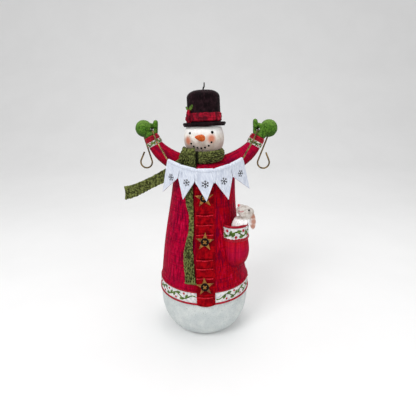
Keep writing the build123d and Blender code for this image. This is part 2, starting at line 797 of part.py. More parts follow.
# ---------------------------------------------------------------- pocket and bunny
def pocket_point(out, aside=0.0):
    """Plan position: out from the axis along the pocket's direction, and sideways round it."""
    angle = math.radians(POCKET_ANGLE)
    return (out * math.sin(angle) + aside * math.cos(angle), -out * math.cos(angle) + aside * math.sin(angle))


def pocket_ring(z, out, radial, sideways):
    """A sketch ellipse across the pocket."""
    with BuildSketch(Plane.XY.offset(z)) as ring:
        with Locations(pocket_point(out)):
            Ellipse(sideways, radial, rotation=POCKET_ANGLE)
    return ring.sketch


def pocket_solid(sections):
    with BuildPart() as solid:
        for section in sections:
            add(pocket_ring(*section))
        loft()
    return solid.part


def pocket_cavity():
    return pocket_solid(((101.0, 38.8, 9.4, 11.2), (POCKET_RIM_Z + 2, 38.6, 9.8, 11.4)))


def make_pocket_pouch(coat, cavity):
    with BuildPart() as pouch:
        add(pocket_solid(POCKET_SECTIONS))
        add(cavity, mode=Mode.SUBTRACT)
        add(coat, mode=Mode.SUBTRACT)
    return finish(pouch, "pocket_pouch")


def make_pocket_band(coat, pouch, cavity):
    with BuildPart() as band:
        add(pocket_solid(((POCKET_BAND_Z, 39.2, 12.8, 14.6), (POCKET_RIM_Z - 0.8, 38.6, 12.8, 14.4))))
        add(cavity, mode=Mode.SUBTRACT)
        add(pouch, mode=Mode.SUBTRACT)
        add(coat, mode=Mode.SUBTRACT)
    return finish(band, "pocket_band")


def make_pocket_cord(name, z, out, radial, sideways, cord_radius, clear_of):
    """Red piping that follows the pocket's oval."""
    with BuildPart() as cord:
        with BuildLine(Plane.XY.offset(z)) as oval:
            EllipticalCenterArc(pocket_point(out), sideways, radial, start_angle=0, arc_size=360,
                                rotation=POCKET_ANGLE)
        with BuildSketch(Plane(origin=oval.line @ 0, z_dir=oval.line % 0)):
            Circle(cord_radius)
        sweep()
        for neighbour in clear_of:
            add(neighbour, mode=Mode.SUBTRACT)
    return finish(cord, name)


def egg(centre, radius, half_length, along=(0, 0, 1)):
    """A round body that is longer or shorter along one axis."""
    with BuildPart() as body:
        with BuildSketch(Plane.XZ):
            with BuildLine():
                EllipticalCenterArc((0, 0), radius, half_length, start_angle=-90, arc_size=180)
                Line((0, half_length), (0, -half_length))
            make_face()
        revolve(axis=Axis.Z)
    return Plane(origin=centre, z_dir=along) * body.part


def leaf_plate(centre, half_width, half_length, thick, facing, round_edge):
    """An oval plate with rounded edges, long in its own Y."""
    with BuildPart() as plate:
        with BuildSketch(Plane(origin=centre, x_dir=facing[0], z_dir=facing[1])):
            Ellipse(half_width, half_length)
        extrude(amount=thick / 2, both=True)
        fillet(plate.edges().filter_by(GeomType.ELLIPSE), radius=round_edge)
    return plate.part


def make_from(name, shape, clear_of):
    with BuildPart() as piece:
        add(shape)
        for neighbour in clear_of:
            add(neighbour, mode=Mode.SUBTRACT)
    return finish(piece, name)


BUNNY_HEAD = Vector(40.2, -25.8, 135.6)
BUNNY_GAZE = Vector(-0.66, -0.21, 0.72).normalized()


def bead(centre, radius):
    """A small ball."""
    return Pos(*centre) * Sphere(radius)


def make_bunny(coat, pouch, band, rim, cavity):
    fill_top = POCKET_RIM_Z - 3.5
    seat = cavity & (Pos(0, 0, fill_top - 50) * Box(200, 200, 100))
    chest = egg((35.2, -25.6, 119.5), 8.0, 12.0)
    upper = chest & (Pos(0, 0, fill_top + 49.9) * Box(200, 200, 100))
    body = make_from("bunny_body", seat + upper, (coat, pouch, band, rim))
    muzzle_end = BUNNY_HEAD + BUNNY_GAZE * 5.8
    muzzle = round_rod(BUNNY_HEAD, muzzle_end, 3.8) + bead(muzzle_end, 3.8)
    head = make_from("bunny_head", bead(BUNNY_HEAD, 6.5) + muzzle, (body, coat))
    in_pocket = (body, pouch, band, rim, coat)
    near_ear = leaf_plate((47.9, -26.0, 126.2), 3.1, 8.5, 3.0, ((1, 0, 0.08), (0, -1, 0)), 0.75)
    ear = make_from("bunny_ear_near", near_ear, (head, *in_pocket))
    far_low, far_high = Vector(43.6, -18.4, 127.2), Vector(43.0, -18.6, 135.6)
    far_ear = round_rod(far_low, far_high, 2.1) + bead(far_low, 2.1) + bead(far_high, 2.1)
    make_from("bunny_ear_far", far_ear, (head, ear, *in_pocket))
    make_from("bunny_nose", bead(BUNNY_HEAD + BUNNY_GAZE * 9.8, 1.3), (head,))
    eyes = bead((43.3, -30.8, 138.6), 0.95) + bead((38.0, -21.0, 139.5), 0.95)
    make_from("bunny_eyes", eyes, (head,))


# ---------------------------------------------------------------- assembly
def main():
    base = make_snow_base()
    coat = make_coat(base)
    prism = placket_prism()
    coat_form = coat_body(0.0)
    placket = make_placket(coat_form, base, prism)
    make_hem_band(prism)
    make_piping("hem_piping_upper", BAND_HIGH_Z, COAT_SECTIONS[0][0], 48.1, prism)
    make_piping("hem_piping_lower", HEM_Z, BAND_LOW_Z, 48.9, prism)

    sleeves = []
    for which, side in (("left", -1), ("right", 1)):
        make_arm_dowel(side, f"{which}_arm_dowel")
        sleeves.append(make_sleeve(side, f"{which}_sleeve", coat))
        cuff = make_cuff(side, f"{which}_cuff")
        piping = make_cuff_piping(side, f"{which}_cuff_piping", cuff)
        make_mitten(which, f"{which}_mitten", piping)

    head = make_head()
    make_neck_dowel()
    make_nose(head)
    make_beads("eye_beads", head, ((-13.1, 210.1, 1.15), (7.8, 211.1, 1.3)))
    smile = ((-12.0, 200.6), (-9.5, 197.9), (-6.0, 196.8), (-2.5, 196.4), (1.0, 197.1), (4.6, 198.8), (7.1, 202.0))
    make_beads("mouth_beads", head, [(x, z, 0.95) for x, z in smile])

    brim = make_hat_brim(head)
    crown = make_hat_crown()
    with BuildPart() as peg:
        add(hat_dowel())
    finish(peg, "hat_dowel")
    band = make_hat_band(crown)
    knot = make_band_knot(crown, band, brim)
    leaves = make_holly_leaves((crown, knot, band))
    make_holly_berries((crown, knot, band, leaves))
    make_hanging_eye()

    wrap = make_scarf_wrap(head, coat_form, sleeves)
    fold = make_scarf_fold((wrap, head, coat_form, placket, arm_dowel(-1), *sleeves))
    front_tail = make_front_tail((coat_form, placket, fold, wrap))
    make_side_tail((coat_form, fold, wrap, front_tail, *sleeves))

    for index in range(len(STAR_HEIGHTS)):
        make_star(index)
        make_button(index)
    make_star_pins(placket, coat_form)
    make_button_threads()

    wire = make_banner_wire()
    for index in range(len(PENNANTS)):
        make_pennant(index, wire)

    cavity = pocket_cavity()
    pouch = make_pocket_pouch(coat, cavity)
    pocket_band = make_pocket_band(coat, pouch, cavity)
    rim = make_pocket_cord("pocket_rim", POCKET_RIM_Z + 0.4, 38.6, 11.6, 13.1, 1.2,
                           (coat, pouch, pocket_band))
    make_pocket_cord("pocket_seam", POCKET_BAND_Z - 0.6, 39.2, 12.3, 14.0, 0.9, (coat, pouch, pocket_band))
    make_bunny(coat, pouch, pocket_band, rim, cavity)


main()
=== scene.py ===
import random
from math import atan, ceil, cos, floor, pi, radians, sin, sqrt, tau

import bpy
from mathutils import Matrix, Vector, noise
from mathutils.bvhtree import BVHTree


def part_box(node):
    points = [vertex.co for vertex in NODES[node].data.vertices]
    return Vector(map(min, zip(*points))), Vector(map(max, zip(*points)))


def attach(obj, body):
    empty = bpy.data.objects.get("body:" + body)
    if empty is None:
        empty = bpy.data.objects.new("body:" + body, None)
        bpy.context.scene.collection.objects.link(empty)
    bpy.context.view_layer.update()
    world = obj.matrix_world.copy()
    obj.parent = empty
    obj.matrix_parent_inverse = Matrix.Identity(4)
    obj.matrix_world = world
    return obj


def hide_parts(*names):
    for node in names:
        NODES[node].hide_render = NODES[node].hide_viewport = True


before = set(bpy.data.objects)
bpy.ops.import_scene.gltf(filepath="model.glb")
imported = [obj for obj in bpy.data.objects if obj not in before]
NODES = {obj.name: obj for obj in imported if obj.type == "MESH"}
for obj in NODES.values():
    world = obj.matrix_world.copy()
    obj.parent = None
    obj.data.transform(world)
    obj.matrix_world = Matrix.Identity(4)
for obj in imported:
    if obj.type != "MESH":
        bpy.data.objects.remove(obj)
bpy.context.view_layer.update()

MM = 0.001
UP, FRONT = Vector((0, 0, 1)), Vector((0, -1, 0))
HINGE = Vector((0, 0, 205.8))
SWING = (0, 3, 6, 9, 12)    # degrees, the bunting's whole travel


# ---- camera, light and floor
CAMERA_PLACE = (0.0039, -0.320, 0.22137)
CAMERA_DOWN = 15.552    # degrees below level, worked out with the lens from the photograph
CAMERA_LENS = 27.07


def make_camera():
    data = bpy.data.cameras.new("camera")
    data.sensor_width = 36.0
    data.lens = CAMERA_LENS
    data.clip_start = 0.01
    camera = bpy.data.objects.new("camera", data)
    camera.location = CAMERA_PLACE
    camera.rotation_euler = (radians(90 - CAMERA_DOWN), 0, 0)
    bpy.context.scene.collection.objects.link(camera)
    bpy.context.scene.camera = camera


def soft_box(name, place, target, size, watts):
    data = bpy.data.lights.new(name, "AREA")
    data.shape = "SQUARE"
    data.size = size
    data.energy = watts
    lamp = bpy.data.objects.new(name, data)
    lamp.location = place
    lamp.rotation_euler = (Vector(target) - Vector(place)).to_track_quat("-Z", "Y").to_euler()
    bpy.context.scene.collection.objects.link(lamp)


def make_studio():
    scene = bpy.context.scene
    scene.view_settings.view_transform = "Standard"
    world = bpy.data.worlds.new("studio")
    world.use_nodes = True
    world.node_tree.nodes["Background"].inputs["Color"].default_value = (1, 1, 1, 1)
    world.node_tree.nodes["Background"].inputs["Strength"].default_value = 0.6
    scene.world = world
    soft_box("key", (-0.55, -0.75, 0.95), (0, 0, 0.12), 0.5, 6.5)
    soft_box("fill", (0.8, -0.6, 0.5), (0, 0, 0.12), 0.7, 2.0)
    soft_box("top", (0.05, 0.15, 1.1), (0, 0, 0.15), 0.5, 3.0)


# ---- materials
def hexed(text):
    """A linear colour from an sRGB hex code."""
    values = [int(text[i:i + 2], 16) / 255 for i in (1, 3, 5)]
    return tuple(v / 12.92 if v <= 0.04045 else ((v + 0.055) / 1.055) ** 2.4 for v in values) + (1.0,)


class Paint:
    """A procedural material under construction; its coordinates are millimetres in the frame."""

    def __init__(self, name, roughness, shine=0.5, **fixed):
        self.material = bpy.data.materials.new(name)
        self.material.use_nodes = True
        self.tree = self.material.node_tree
        self.shader = self.tree.nodes["Principled BSDF"]
        self.shader.inputs["Roughness"].default_value = roughness
        self.shader.inputs["Specular IOR Level"].default_value = shine
        for key, value in fixed.items():
            self.shader.inputs[key.replace("_", " ")].default_value = value
        place = self.tree.nodes.new("ShaderNodeTexCoord")
        self.place = place.outputs["Object"]

    def add(self, kind, inputs, out=0, **props):
        node = self.tree.nodes.new(kind)
        for key, value in props.items():
            setattr(node, key, value)
        for key, value in inputs.items():
            if isinstance(value, bpy.types.NodeSocket):
                self.tree.links.new(value, node.inputs[key])
            else:
                node.inputs[key].default_value = value
        return node.outputs[out]

    def coords(self, scale=(1, 1, 1), turn=(0, 0, 0)):
        """Millimetre coordinates, turned and then stretched."""
        angles = [radians(a) for a in turn]
        turned = self.add("ShaderNodeMapping", {"Vector": self.place, "Rotation": angles})
        size = [1000 * s for s in scale]
        return self.add("ShaderNodeVectorMath", {0: turned, 1: size}, operation="MULTIPLY")

    def noise(self, scale, detail=4.0, rough=0.55, distortion=0.0, stretch=(1, 1, 1), turn=(0, 0, 0)):
        return self.add("ShaderNodeTexNoise", {
            "Vector": self.coords(stretch, turn), "Scale": scale, "Detail": detail, "Roughness": rough,
            "Distortion": distortion})

    def cells(self, scale, feature="F1"):
        return self.add("ShaderNodeTexVoronoi", {"Vector": self.coords(), "Scale": scale}, feature=feature)

    def math(self, operation, a, b=0.0, c=0.0, clamp=False):
        return self.add("ShaderNodeMath", {0: a, 1: b, 2: c}, operation=operation, use_clamp=clamp)

    def smooth(self, value, low, high):
        """0 below low, 1 above high, with a soft step between them."""
        return self.add("ShaderNodeMapRange", {"Value": value, "From Min": low, "From Max": high},
                        interpolation_type="SMOOTHSTEP")

    def axis(self, letter, turn=(0, 0, 0)):
        return self.add("ShaderNodeSeparateXYZ", {0: self.coords(turn=turn)}, out=letter)

    def mix(self, factor, a, b):
        a = hexed(a) if isinstance(a, str) else a
        b = hexed(b) if isinstance(b, str) else b
        return self.add("ShaderNodeMix", {0: factor, 6: a, 7: b}, out=2, data_type="RGBA")

    def ramp(self, value, low, high, a, b):
        """Colour a where value is low, b where it is high."""
        return self.mix(self.smooth(value, low, high), a, b)

    def wash(self, body, value, low, high, strength, colour):
        """Lays a colour over body, more of it as value goes from low to high."""
        return self.mix(self.math("MULTIPLY", self.smooth(value, low, high), strength), body, colour)

    def near(self, point, inner, outer):
        """1 within inner millimetres of a point, fading to 0 at outer."""
        gap = self.add("ShaderNodeVectorMath", {0: self.coords(), 1: point}, out=1, operation="DISTANCE")
        return self.add("ShaderNodeMapRange", {"Value": gap, "From Min": outer, "From Max": inner},
                        interpolation_type="SMOOTHSTEP")

    def upward(self):
        """How far the surface faces up: 1 on top, -1 underneath."""
        facing = self.tree.nodes["Texture Coordinate"].outputs["Normal"]
        return self.add("ShaderNodeSeparateXYZ", {0: facing}, out="Z")

    def dab(self, body, place, inner, outer, strength, colour):
        """Lays a colour over body round one point."""
        return self.mix(self.math("MULTIPLY", self.near(place, inner, outer), strength), body, colour)

    def bumps(self, *layers):
        """Stacks bump layers of (height, depth in millimetres)."""
        below = None
        for height, depth in layers:
            inputs = {"Height": height, "Strength": 1.0, "Distance": depth * MM}
            if below is not None:
                inputs["Normal"] = below
            below = self.add("ShaderNodeBump", inputs)
        self.tree.links.new(below, self.shader.inputs["Normal"])

    def finish(self, colour=None, roughness=None):
        if colour is not None:
            self.tree.links.new(colour, self.shader.inputs["Base Color"])
        if roughness is not None:
            self.tree.links.new(roughness, self.shader.inputs["Roughness"])
        return self.material


def coat_paint(name, turn=(0, 0, 0), red_centre=None, light="#CC1448", base="#A8002C", red="#A40010",
               brushed=0.8):
    """Dry-brushed crimson over purple, streaked along the local Z, with faint cross lines."""
    paint = Paint(name, 0.6, shine=0.02)
    streaks = paint.noise(0.42, 5.0, 0.7, stretch=(1, 1, 0.03), turn=turn)
    fine = paint.noise(0.85, 3.0, 0.6, stretch=(1, 1, 0.03), turn=turn)
    lines = paint.noise(0.75, 3.0, 0.6, stretch=(0.04, 0.04, 1), turn=turn)
    cloud = paint.noise(0.06, 2.0, turn=turn)
    if red_centre is None:
        body = paint.ramp(cloud, 0.35, 0.65, base, red)
    else:
        x, y = paint.axis("X"), paint.axis("Y")
        angle = paint.math("ARCTAN2", x, paint.math("MULTIPLY", y, -1.0))
        away = paint.math("ABSOLUTE", paint.math("SUBTRACT", angle, radians(red_centre)))
        away = paint.math("ADD", away, paint.math("MULTIPLY", paint.math("SUBTRACT", fine, 0.5), 0.7))
        body = paint.ramp(away, 0.42, 0.9, red, base)
    body = paint.wash(body, streaks, 0.53, 0.66, brushed * 0.94, light)
    body = paint.wash(body, streaks, 0.49, 0.38, brushed, "#56002C")
    body = paint.wash(body, fine, 0.48, 0.38, brushed, "#58001E")
    body = paint.wash(body, lines, 0.46, 0.38, brushed * 0.6, "#62001C")
    body = paint.wash(body, paint.axis("Z"), 148.0, 186.0, 0.1, "#D02458")
    # Painted shade: darker on the undersides that face down.
    body = paint.wash(body, paint.upward(), 0.1, -0.7, 0.6, "#4C0014")
    paint.bumps((streaks, 0.7), (fine, 0.4), (lines, 0.4))
    rough = paint.math("MULTIPLY_ADD", streaks, 0.35, 0.4)
    return paint.finish(body, rough)


def placket_paint():
    """Deep red with soft brush marks, darker in the hollows."""
    paint = Paint("placket_paint", 0.55, shine=0.02)
    cloud = paint.noise(0.3, 4.0, stretch=(1, 1, 0.6))
    brush = paint.noise(1.1, 4.0, stretch=(0.12, 0.12, 1))
    body = paint.ramp(cloud, 0.36, 0.64, "#6C000C", "#A00410")
    body = paint.wash(body, brush, 0.48, 0.34, 0.7, "#54000C")
    paint.bumps((cloud, 0.7), (brush, 0.35))
    return paint.finish(body, paint.math("MULTIPLY_ADD", cloud, 0.3, 0.36))


def snow_paint():
    """Chalky white with grain, and tiny white specks painted in as glints of glitter."""
    paint = Paint("snow_paint", 0.7, shine=0.3)
    grain = paint.noise(0.85, 5.0, 0.7)
    cloud = paint.noise(0.09, 3.0)
    glint_specks = paint.cells(1.1)
    body = paint.ramp(cloud, 0.35, 0.7, "#C2C9C9", "#D2D7D5")
    body = paint.wash(body, grain, 0.46, 0.34, 0.6, "#8E999A")
    # Painted glints: small white specks stand in for glitter catching the light.
    body = paint.wash(body, glint_specks, 0.16, 0.05, 0.9, "#FFFFFF")
    paint.bumps((grain, 0.6), (glint_specks, 0.25))
    return paint.finish(body)


def face_paint():
    """Ivory, with a painted highlight high up under the brim, painted shade towards the chin and on the
    right side, and rubbed orange cheeks.
    """
    paint = Paint("face_paint", 0.45, shine=0.35)
    cloud = paint.noise(0.16, 4.0)
    brush = paint.noise(0.7, 4.0, 0.6, stretch=(1, 1, 0.35))
    body = paint.ramp(cloud, 0.35, 0.65, "#D8D0C4", "#F6F2EA")
    body = paint.wash(body, brush, 0.46, 0.36, 0.45, "#A89C90")
    # Painted shade darkening towards the chin, a painted highlight high up under the brim, and painted shade
    # on the right side.
    body = paint.wash(body, paint.axis("Z"), 208.5, 196.0, 0.75, "#A48C80")
    body = paint.wash(body, paint.axis("Z"), 206.0, 212.0, 0.7, "#FFFFFF")
    body = paint.wash(body, paint.axis("X"), 11.0, 19.0, 0.4, "#A8988E")
    for place in ((-15.6, -12.9, 203.0), (7.3, -18.7, 205.4)):
        blush = paint.near(place, 1.4, 6.2)
        blush = paint.math("MULTIPLY", blush, paint.math("MULTIPLY_ADD", cloud, 0.5, 0.65), clamp=True)
        body = paint.mix(blush, body, "#C86840")
    paint.bumps((brush, 0.35), (cloud, 0.7))
    return paint.finish(body)


def rubbed_paint(name, low, high, roughness, grain, depth, stretch=(1, 1, 1), **fixed):
    """A two-tone rubbed finish with grain: most of the small painted pieces."""
    paint = Paint(name, roughness, **fixed)
    coarse = paint.noise(grain * 0.35, 4.0, stretch=stretch)
    fine = paint.noise(grain * 1.6, 4.0, 0.6, stretch=stretch)
    body = paint.ramp(coarse, 0.34, 0.66, low, high)
    body = paint.wash(body, fine, 0.46, 0.3, 0.4, low)
    paint.bumps((coarse, depth * 1.6), (fine, depth))
    return paint.finish(body, paint.math("MULTIPLY_ADD", fine, 0.3, roughness - 0.15))


def mitten_paint():
    """Felted green wool: small round nubs with lint, a painted highlight on top and painted shade
    underneath.
    """
    paint = Paint("mitten_paint", 0.85, shine=0.1, Sheen_Weight=0.05)
    nubs = paint.cells(0.75, "SMOOTH_F1")
    lint = paint.noise(1.2, 4.0, 0.7)
    cloud = paint.noise(0.16, 3.0)
    body = paint.ramp(nubs, 0.15, 0.7, "#568426", "#22480C")
    body = paint.wash(body, lint, 0.5, 0.64, 0.5, "#7C9C44")
    body = paint.wash(body, cloud, 0.55, 0.35, 0.3, "#244A12")
    # Painted highlight on the parts that face up, painted shade on the underside.
    body = paint.wash(body, paint.upward(), 0.1, 0.9, 0.35, "#84A450")
    body = paint.wash(body, paint.upward(), 0.0, -0.7, 0.5, "#16300A")
    dents = paint.math("MULTIPLY", nubs, -1.0)
    paint.bumps((dents, 0.8), (lint, 0.35))
    return paint.finish(body)


def knit_paint():
    """Heathered olive yarn with pale and near-black fibres, and a painted shadow in the crease beside the
    fold.
    """
    paint = Paint("scarf_knit", 0.85, shine=0.08, Sheen_Weight=0.06)
    heather = paint.noise(0.42, 3.0, 0.6)
    fibre = paint.noise(2.2, 4.0, 0.7)
    body = paint.ramp(heather, 0.38, 0.62, "#2C300E", "#7E8648")
    body = paint.wash(body, fibre, 0.5, 0.36, 0.6, "#20240C")
    body = paint.wash(body, fibre, 0.54, 0.68, 0.6, "#A0A66A")
    # Painted shadow: near-black in the crease where the fold's right edge meets the wrap.
    beside = paint.math("ABSOLUTE", paint.math("ADD", paint.axis("X"), 6.6))
    front = paint.smooth(paint.axis("Y"), -19.0, -22.0)
    crease_shadow = paint.math("MULTIPLY", paint.smooth(beside, 2.1, 0.9), front)
    crease_shadow = paint.math("MULTIPLY", crease_shadow, paint.smooth(paint.axis("Z"), 178.0, 181.0))
    body = paint.mix(paint.math("MULTIPLY", crease_shadow, 0.9), body, "#090A03")
    paint.bumps((fibre, 0.35))
    return paint.finish(body)


def gap_shade_paint():
    """A near-black sheet seen only through the gaps in the stitches: painted shade between the loops."""
    paint = Paint("scarf_gap_shade", 0.9, shine=0.04)
    weave = paint.noise(1.4, 3.0)
    body = paint.ramp(weave, 0.35, 0.65, "#0C0E04", "#1E220C")
    paint.bumps((weave, 0.3))
    return paint.finish(body)


def hat_paint():
    """Brown-black brushed felt with worn plum patches."""
    paint = Paint("hat_felt", 0.6, shine=0.04)
    nap = paint.noise(0.55, 5.0, 0.65, stretch=(1, 1, 0.6))
    cloud = paint.noise(0.12, 3.0)
    body = paint.ramp(cloud, 0.36, 0.66, "#10060A", "#231318")
    body = paint.wash(body, nap, 0.52, 0.68, 0.45, "#3A252B")
    body = paint.wash(body, nap, 0.48, 0.36, 0.7, "#080304")
    paint.bumps((nap, 0.4), (cloud, 0.8))
    return paint.finish(body, paint.math("MULTIPLY_ADD", nap, 0.3, 0.38))


def ribbon_paint():
    """Crimson woven ribbon: crossing threads, darker in the hollows of the weave, with a painted sheen in
    broad patches.
    """
    paint = Paint("hat_ribbon", 0.6, shine=0.08)
    warp = paint.noise(0.9, 3.0, stretch=(1, 1, 0.12))
    weft = paint.noise(0.9, 3.0, stretch=(0.1, 0.1, 1))
    weave = paint.math("MAXIMUM", warp, weft)
    sheen = paint.noise(0.22, 3.0, stretch=(1, 1, 0.5))
    # Painted sheen: broad lighter and darker patches from the sheen noise, brightest at its peaks; the
    # weave's hollows are darker.
    body = paint.ramp(sheen, 0.38, 0.6, "#5C0A1C", "#B20E2C")
    body = paint.wash(body, weave, 0.58, 0.44, 0.5, "#38030F")
    body = paint.wash(body, sheen, 0.56, 0.7, 0.6, "#D02C46")
    paint.bumps((weave, 0.45), (sheen, 0.8))
    return paint.finish(body)


def rusty_tin():
    """Gilded tin gone brown: gold where it is rubbed, rust in the patches."""
    paint = Paint("rusty_tin", 0.5, Metallic=0.45)
    patch = paint.noise(0.3, 5.0, 0.65, 0.5)
    pits = paint.noise(2.4, 3.0)
    body = paint.ramp(patch, 0.42, 0.6, "#A8702A", "#6A3A16")
    body = paint.wash(body, pits, 0.5, 0.34, 0.5, "#3A1E0C")
    body = paint.wash(body, patch, 0.36, 0.24, 0.7, "#CC9444")
    paint.bumps((patch, 0.25), (pits, 0.1))
    return paint.finish(body, paint.math("MULTIPLY_ADD", patch, 0.5, 0.22))


def wire_metal(name, bright, dark, blend=0.6):
    """Drawn wire: brass with a dark patina in patches and in fine streaks."""
    paint = Paint(name, 0.28, Metallic=0.85)
    patina = paint.noise(0.34, 3.0, 0.5)
    drawn = paint.noise(1.4, 3.0, stretch=(2.5, 2.5, 0.2))
    body = paint.wash(bright, patina, 0.42, 0.58, blend, dark)
    body = paint.wash(body, drawn, 0.5, 0.36, 0.5, dark)
    paint.bumps((drawn, 0.06), (patina, 0.05))
    return paint.finish(body, paint.math("MULTIPLY_ADD", patina, 0.4, 0.1))


def white_tin():
    """Thin tin sheet under brushed white paint."""
    paint = Paint("white_tin", 0.5, Coat_Weight=0.15, Coat_Roughness=0.4)
    brushed = paint.noise(1.4, 4.0, stretch=(1, 1, 0.1), turn=(0, 18, 0))
    cloud = paint.noise(0.14, 4.0)
    body = paint.ramp(brushed, 0.34, 0.68, "#C2C9D8", "#DDE2EC")
    body = paint.wash(body, cloud, 0.5, 0.3, 0.35, "#ABB4C8")
    paint.bumps((brushed, 0.16), (cloud, 0.5))
    return paint.finish(body, paint.math("MULTIPLY_ADD", brushed, 0.3, 0.36))


def bunny_paint():
    """White chest, cream head washed with brown, brown-tan dabs on and round the ears that are partly the
    ears' own tan and partly painted shade, and a thin red smile.
    """
    paint = Paint("bunny_paint", 0.7, shine=0.2)
    fur = paint.noise(1.1, 4.0, 0.65, stretch=(1, 1, 0.45), turn=(20, 30, 0))
    wash = paint.noise(0.3, 4.0)
    head = paint.ramp(wash, 0.38, 0.6, "#B4A9A0", "#D4CEC8")
    head = paint.wash(head, fur, 0.46, 0.34, 0.3, "#94826F")
    chest = paint.ramp(fur, 0.3, 0.55, "#D0CCC6", "#FFFFFF")
    body = paint.ramp(paint.axis("Z"), 128.2, 130.4, chest, head)
    # Brown-tan dabs on and round the ears: partly the ears' own tan, partly painted shade.
    for place, inner, outer in (((48.8, -27.5, 126.0), 1.2, 4.6), ((48.3, -27.0, 121.0), 1.2, 4.4),
                                ((47.8, -27.0, 131.5), 1.0, 4.6), ((44.6, -18.6, 130.0), 1.0, 4.0)):
        body = paint.dab(body, place, inner, outer, 0.9, "#AC6E54")
    for place in ((33.4, -32.6, 138.2), (34.6, -33.4, 138.0), (35.9, -33.9, 138.0), (37.2, -34.0, 138.4)):
        body = paint.dab(body, place, 0.3, 1.2, 0.65, "#B02C3C")
    paint.bumps((fur, 0.5), (wash, 0.4))
    return paint.finish(body)


CUFF_LEAN = radians(27)
SIDES = (("left", -1), ("right", 1))    # as the camera sees them


def cuff_frame(way):
    """Foot and direction of a forearm."""
    return (0.5 + way * 49.1, 0.0, 198.0), (way * sin(CUFF_LEAN), 0.0, cos(CUFF_LEAN))


def cuff_paint(name, way):
    """White painted ground with a red edge beyond the middle of the cuff."""
    paint = Paint(name, 0.5, shine=0.15)
    foot, axis = cuff_frame(way)
    start = paint.add("ShaderNodeVectorMath", {0: paint.coords(), 1: foot}, operation="SUBTRACT")
    along = paint.add("ShaderNodeVectorMath", {0: start, 1: axis}, out=1, operation="DOT_PRODUCT")
    brush = paint.noise(0.9, 4.0, 0.6)
    edge = paint.math("MULTIPLY_ADD", brush, 1.4, 4.1)
    white = paint.ramp(brush, 0.35, 0.65, "#A8A8A4", "#DEDCD4")
    red = paint.ramp(brush, 0.35, 0.65, "#6C0418", "#AC0C26")
    past = paint.smooth(paint.math("SUBTRACT", along, edge), -0.25, 0.25)
    paint.bumps((brush, 0.4))
    return paint.finish(paint.mix(past, white, red))


# ---- mesh helpers
def new_mesh(name, verts, faces, material, body="figure", smooth=True):
    """An object from millimetre vertices, riding on a body."""
    mesh = bpy.data.meshes.new(name)
    mesh.from_pydata([tuple(c * MM for c in v) for v in verts], [], faces)
    mesh.validate()
    mesh.update()
    mesh.materials.append(material)
    if smooth:
        mesh.polygons.foreach_set("use_smooth", [True] * len(mesh.polygons))
    piece = bpy.data.objects.new(name, mesh)
    bpy.context.scene.collection.objects.link(piece)
    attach(piece, body)
    return piece


def dress(names, material):
    for name in names:
        mesh = NODES[name].data
        if not mesh.materials:
            mesh.materials.append(material)
        for index in range(len(mesh.materials)):
            mesh.materials[index] = material


def polar(radius, angle):
    return radius * cos(angle), radius * sin(angle)


def joined(names):
    """The vertices, in millimetres, and faces of several CAD nodes."""
    verts, faces = [], []
    for name in names:
        mesh = NODES[name].data
        base = len(verts)
        verts += [v.co * 1000 for v in mesh.vertices]
        faces += [[base + i for i in face.vertices] for face in mesh.polygons]
    return verts, faces


def clear_of_wire(points, gap=0.15):
    """Moves points off the bunting wire, over its whole swing."""
    tree = BVHTree.FromPolygons(*joined(["banner_wire"]))
    for degrees in SWING * 3:
        turn = Matrix.Rotation(radians(degrees), 3, Vector((-1, 0, 0)))
        for index, point in enumerate(points):
            local = turn.transposed() @ (point - HINGE) + HINGE
            place, normal, _, _ = tree.find_nearest(local, 2.0)
            if place is not None and (local - place).dot(normal) < gap:
                points[index] = turn @ (place + normal * gap - HINGE) + HINGE


def organic(name, names, voxel, smoothing, ripple, ripple_size, material, slot, lumps=(), seed=0.0):
    """One soft skin over CAD nodes and extra lumps of (x, y, z, radius): remeshed, smoothed, and rippled."""
    verts, faces = joined(names)
    rings, sides = 10, 16
    for x, y, z, radius in lumps:
        base = len(verts)
        for i in range(rings + 1):
            down = pi * i / rings
            for j in range(sides):
                dx, dy = polar(radius * sin(down), tau * j / sides)
                verts.append(Vector((x + dx, y + dy, z + radius * cos(down))))
        for i in range(rings):
            a, b = base + i * sides, base + (i + 1) * sides
            faces += [(a + j, b + j, b + (j + 1) % sides, a + (j + 1) % sides) for j in range(sides)]
    mesh = bpy.data.meshes.new(name + "_rough")
    mesh.from_pydata([tuple(v) for v in verts], [], faces)
    rough = bpy.data.objects.new(name + "_rough", mesh)
    bpy.context.scene.collection.objects.link(rough)
    skin = rough.modifiers.new("skin", "REMESH")
    skin.mode = "VOXEL"
    skin.voxel_size = voxel
    soften = rough.modifiers.new("soften", "SMOOTH")
    soften.factor = 0.5
    soften.iterations = smoothing
    graph = bpy.context.evaluated_depsgraph_get()
    done = bpy.data.meshes.new_from_object(rough.evaluated_get(graph))
    bpy.data.objects.remove(rough)
    points = []
    for vertex in done.vertices:
        shift = noise.noise(vertex.co / ripple_size + Vector((seed, seed, seed)))
        shift += 0.5 * noise.noise(vertex.co / ripple_size * 2.3)
        points.append(vertex.co + vertex.normal * (shift * ripple))
    if slot == "mitten_paint":
        clear_of_wire(points)
    skin_faces = [list(face.vertices) for face in done.polygons]
    piece = new_mesh(name, points, skin_faces, material)
    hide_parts(*names)
    return piece


def through(points):
    """A smooth curve y(x) through points in order of x."""
    points = sorted(points)
    xs = [p[0] for p in points]
    ys = [p[1] for p in points]
    count = len(xs)
    slopes = []
    for i in range(count):
        low, high = max(i - 1, 0), min(i + 1, count - 1)
        slopes.append((ys[high] - ys[low]) / (xs[high] - xs[low]))

    def value(x):
        x = min(max(x, xs[0]), xs[-1])
        i = 0
        while i < count - 2 and x > xs[i + 1]:
            i += 1
        width = xs[i + 1] - xs[i]
        t = (x - xs[i]) / width
        return ((2 * t ** 3 - 3 * t ** 2 + 1) * ys[i] + (t ** 3 - 2 * t ** 2 + t) * width * slopes[i]
                + (3 * t ** 2 - 2 * t ** 3) * ys[i + 1] + (t ** 3 - t ** 2) * width * slopes[i + 1])
    return value


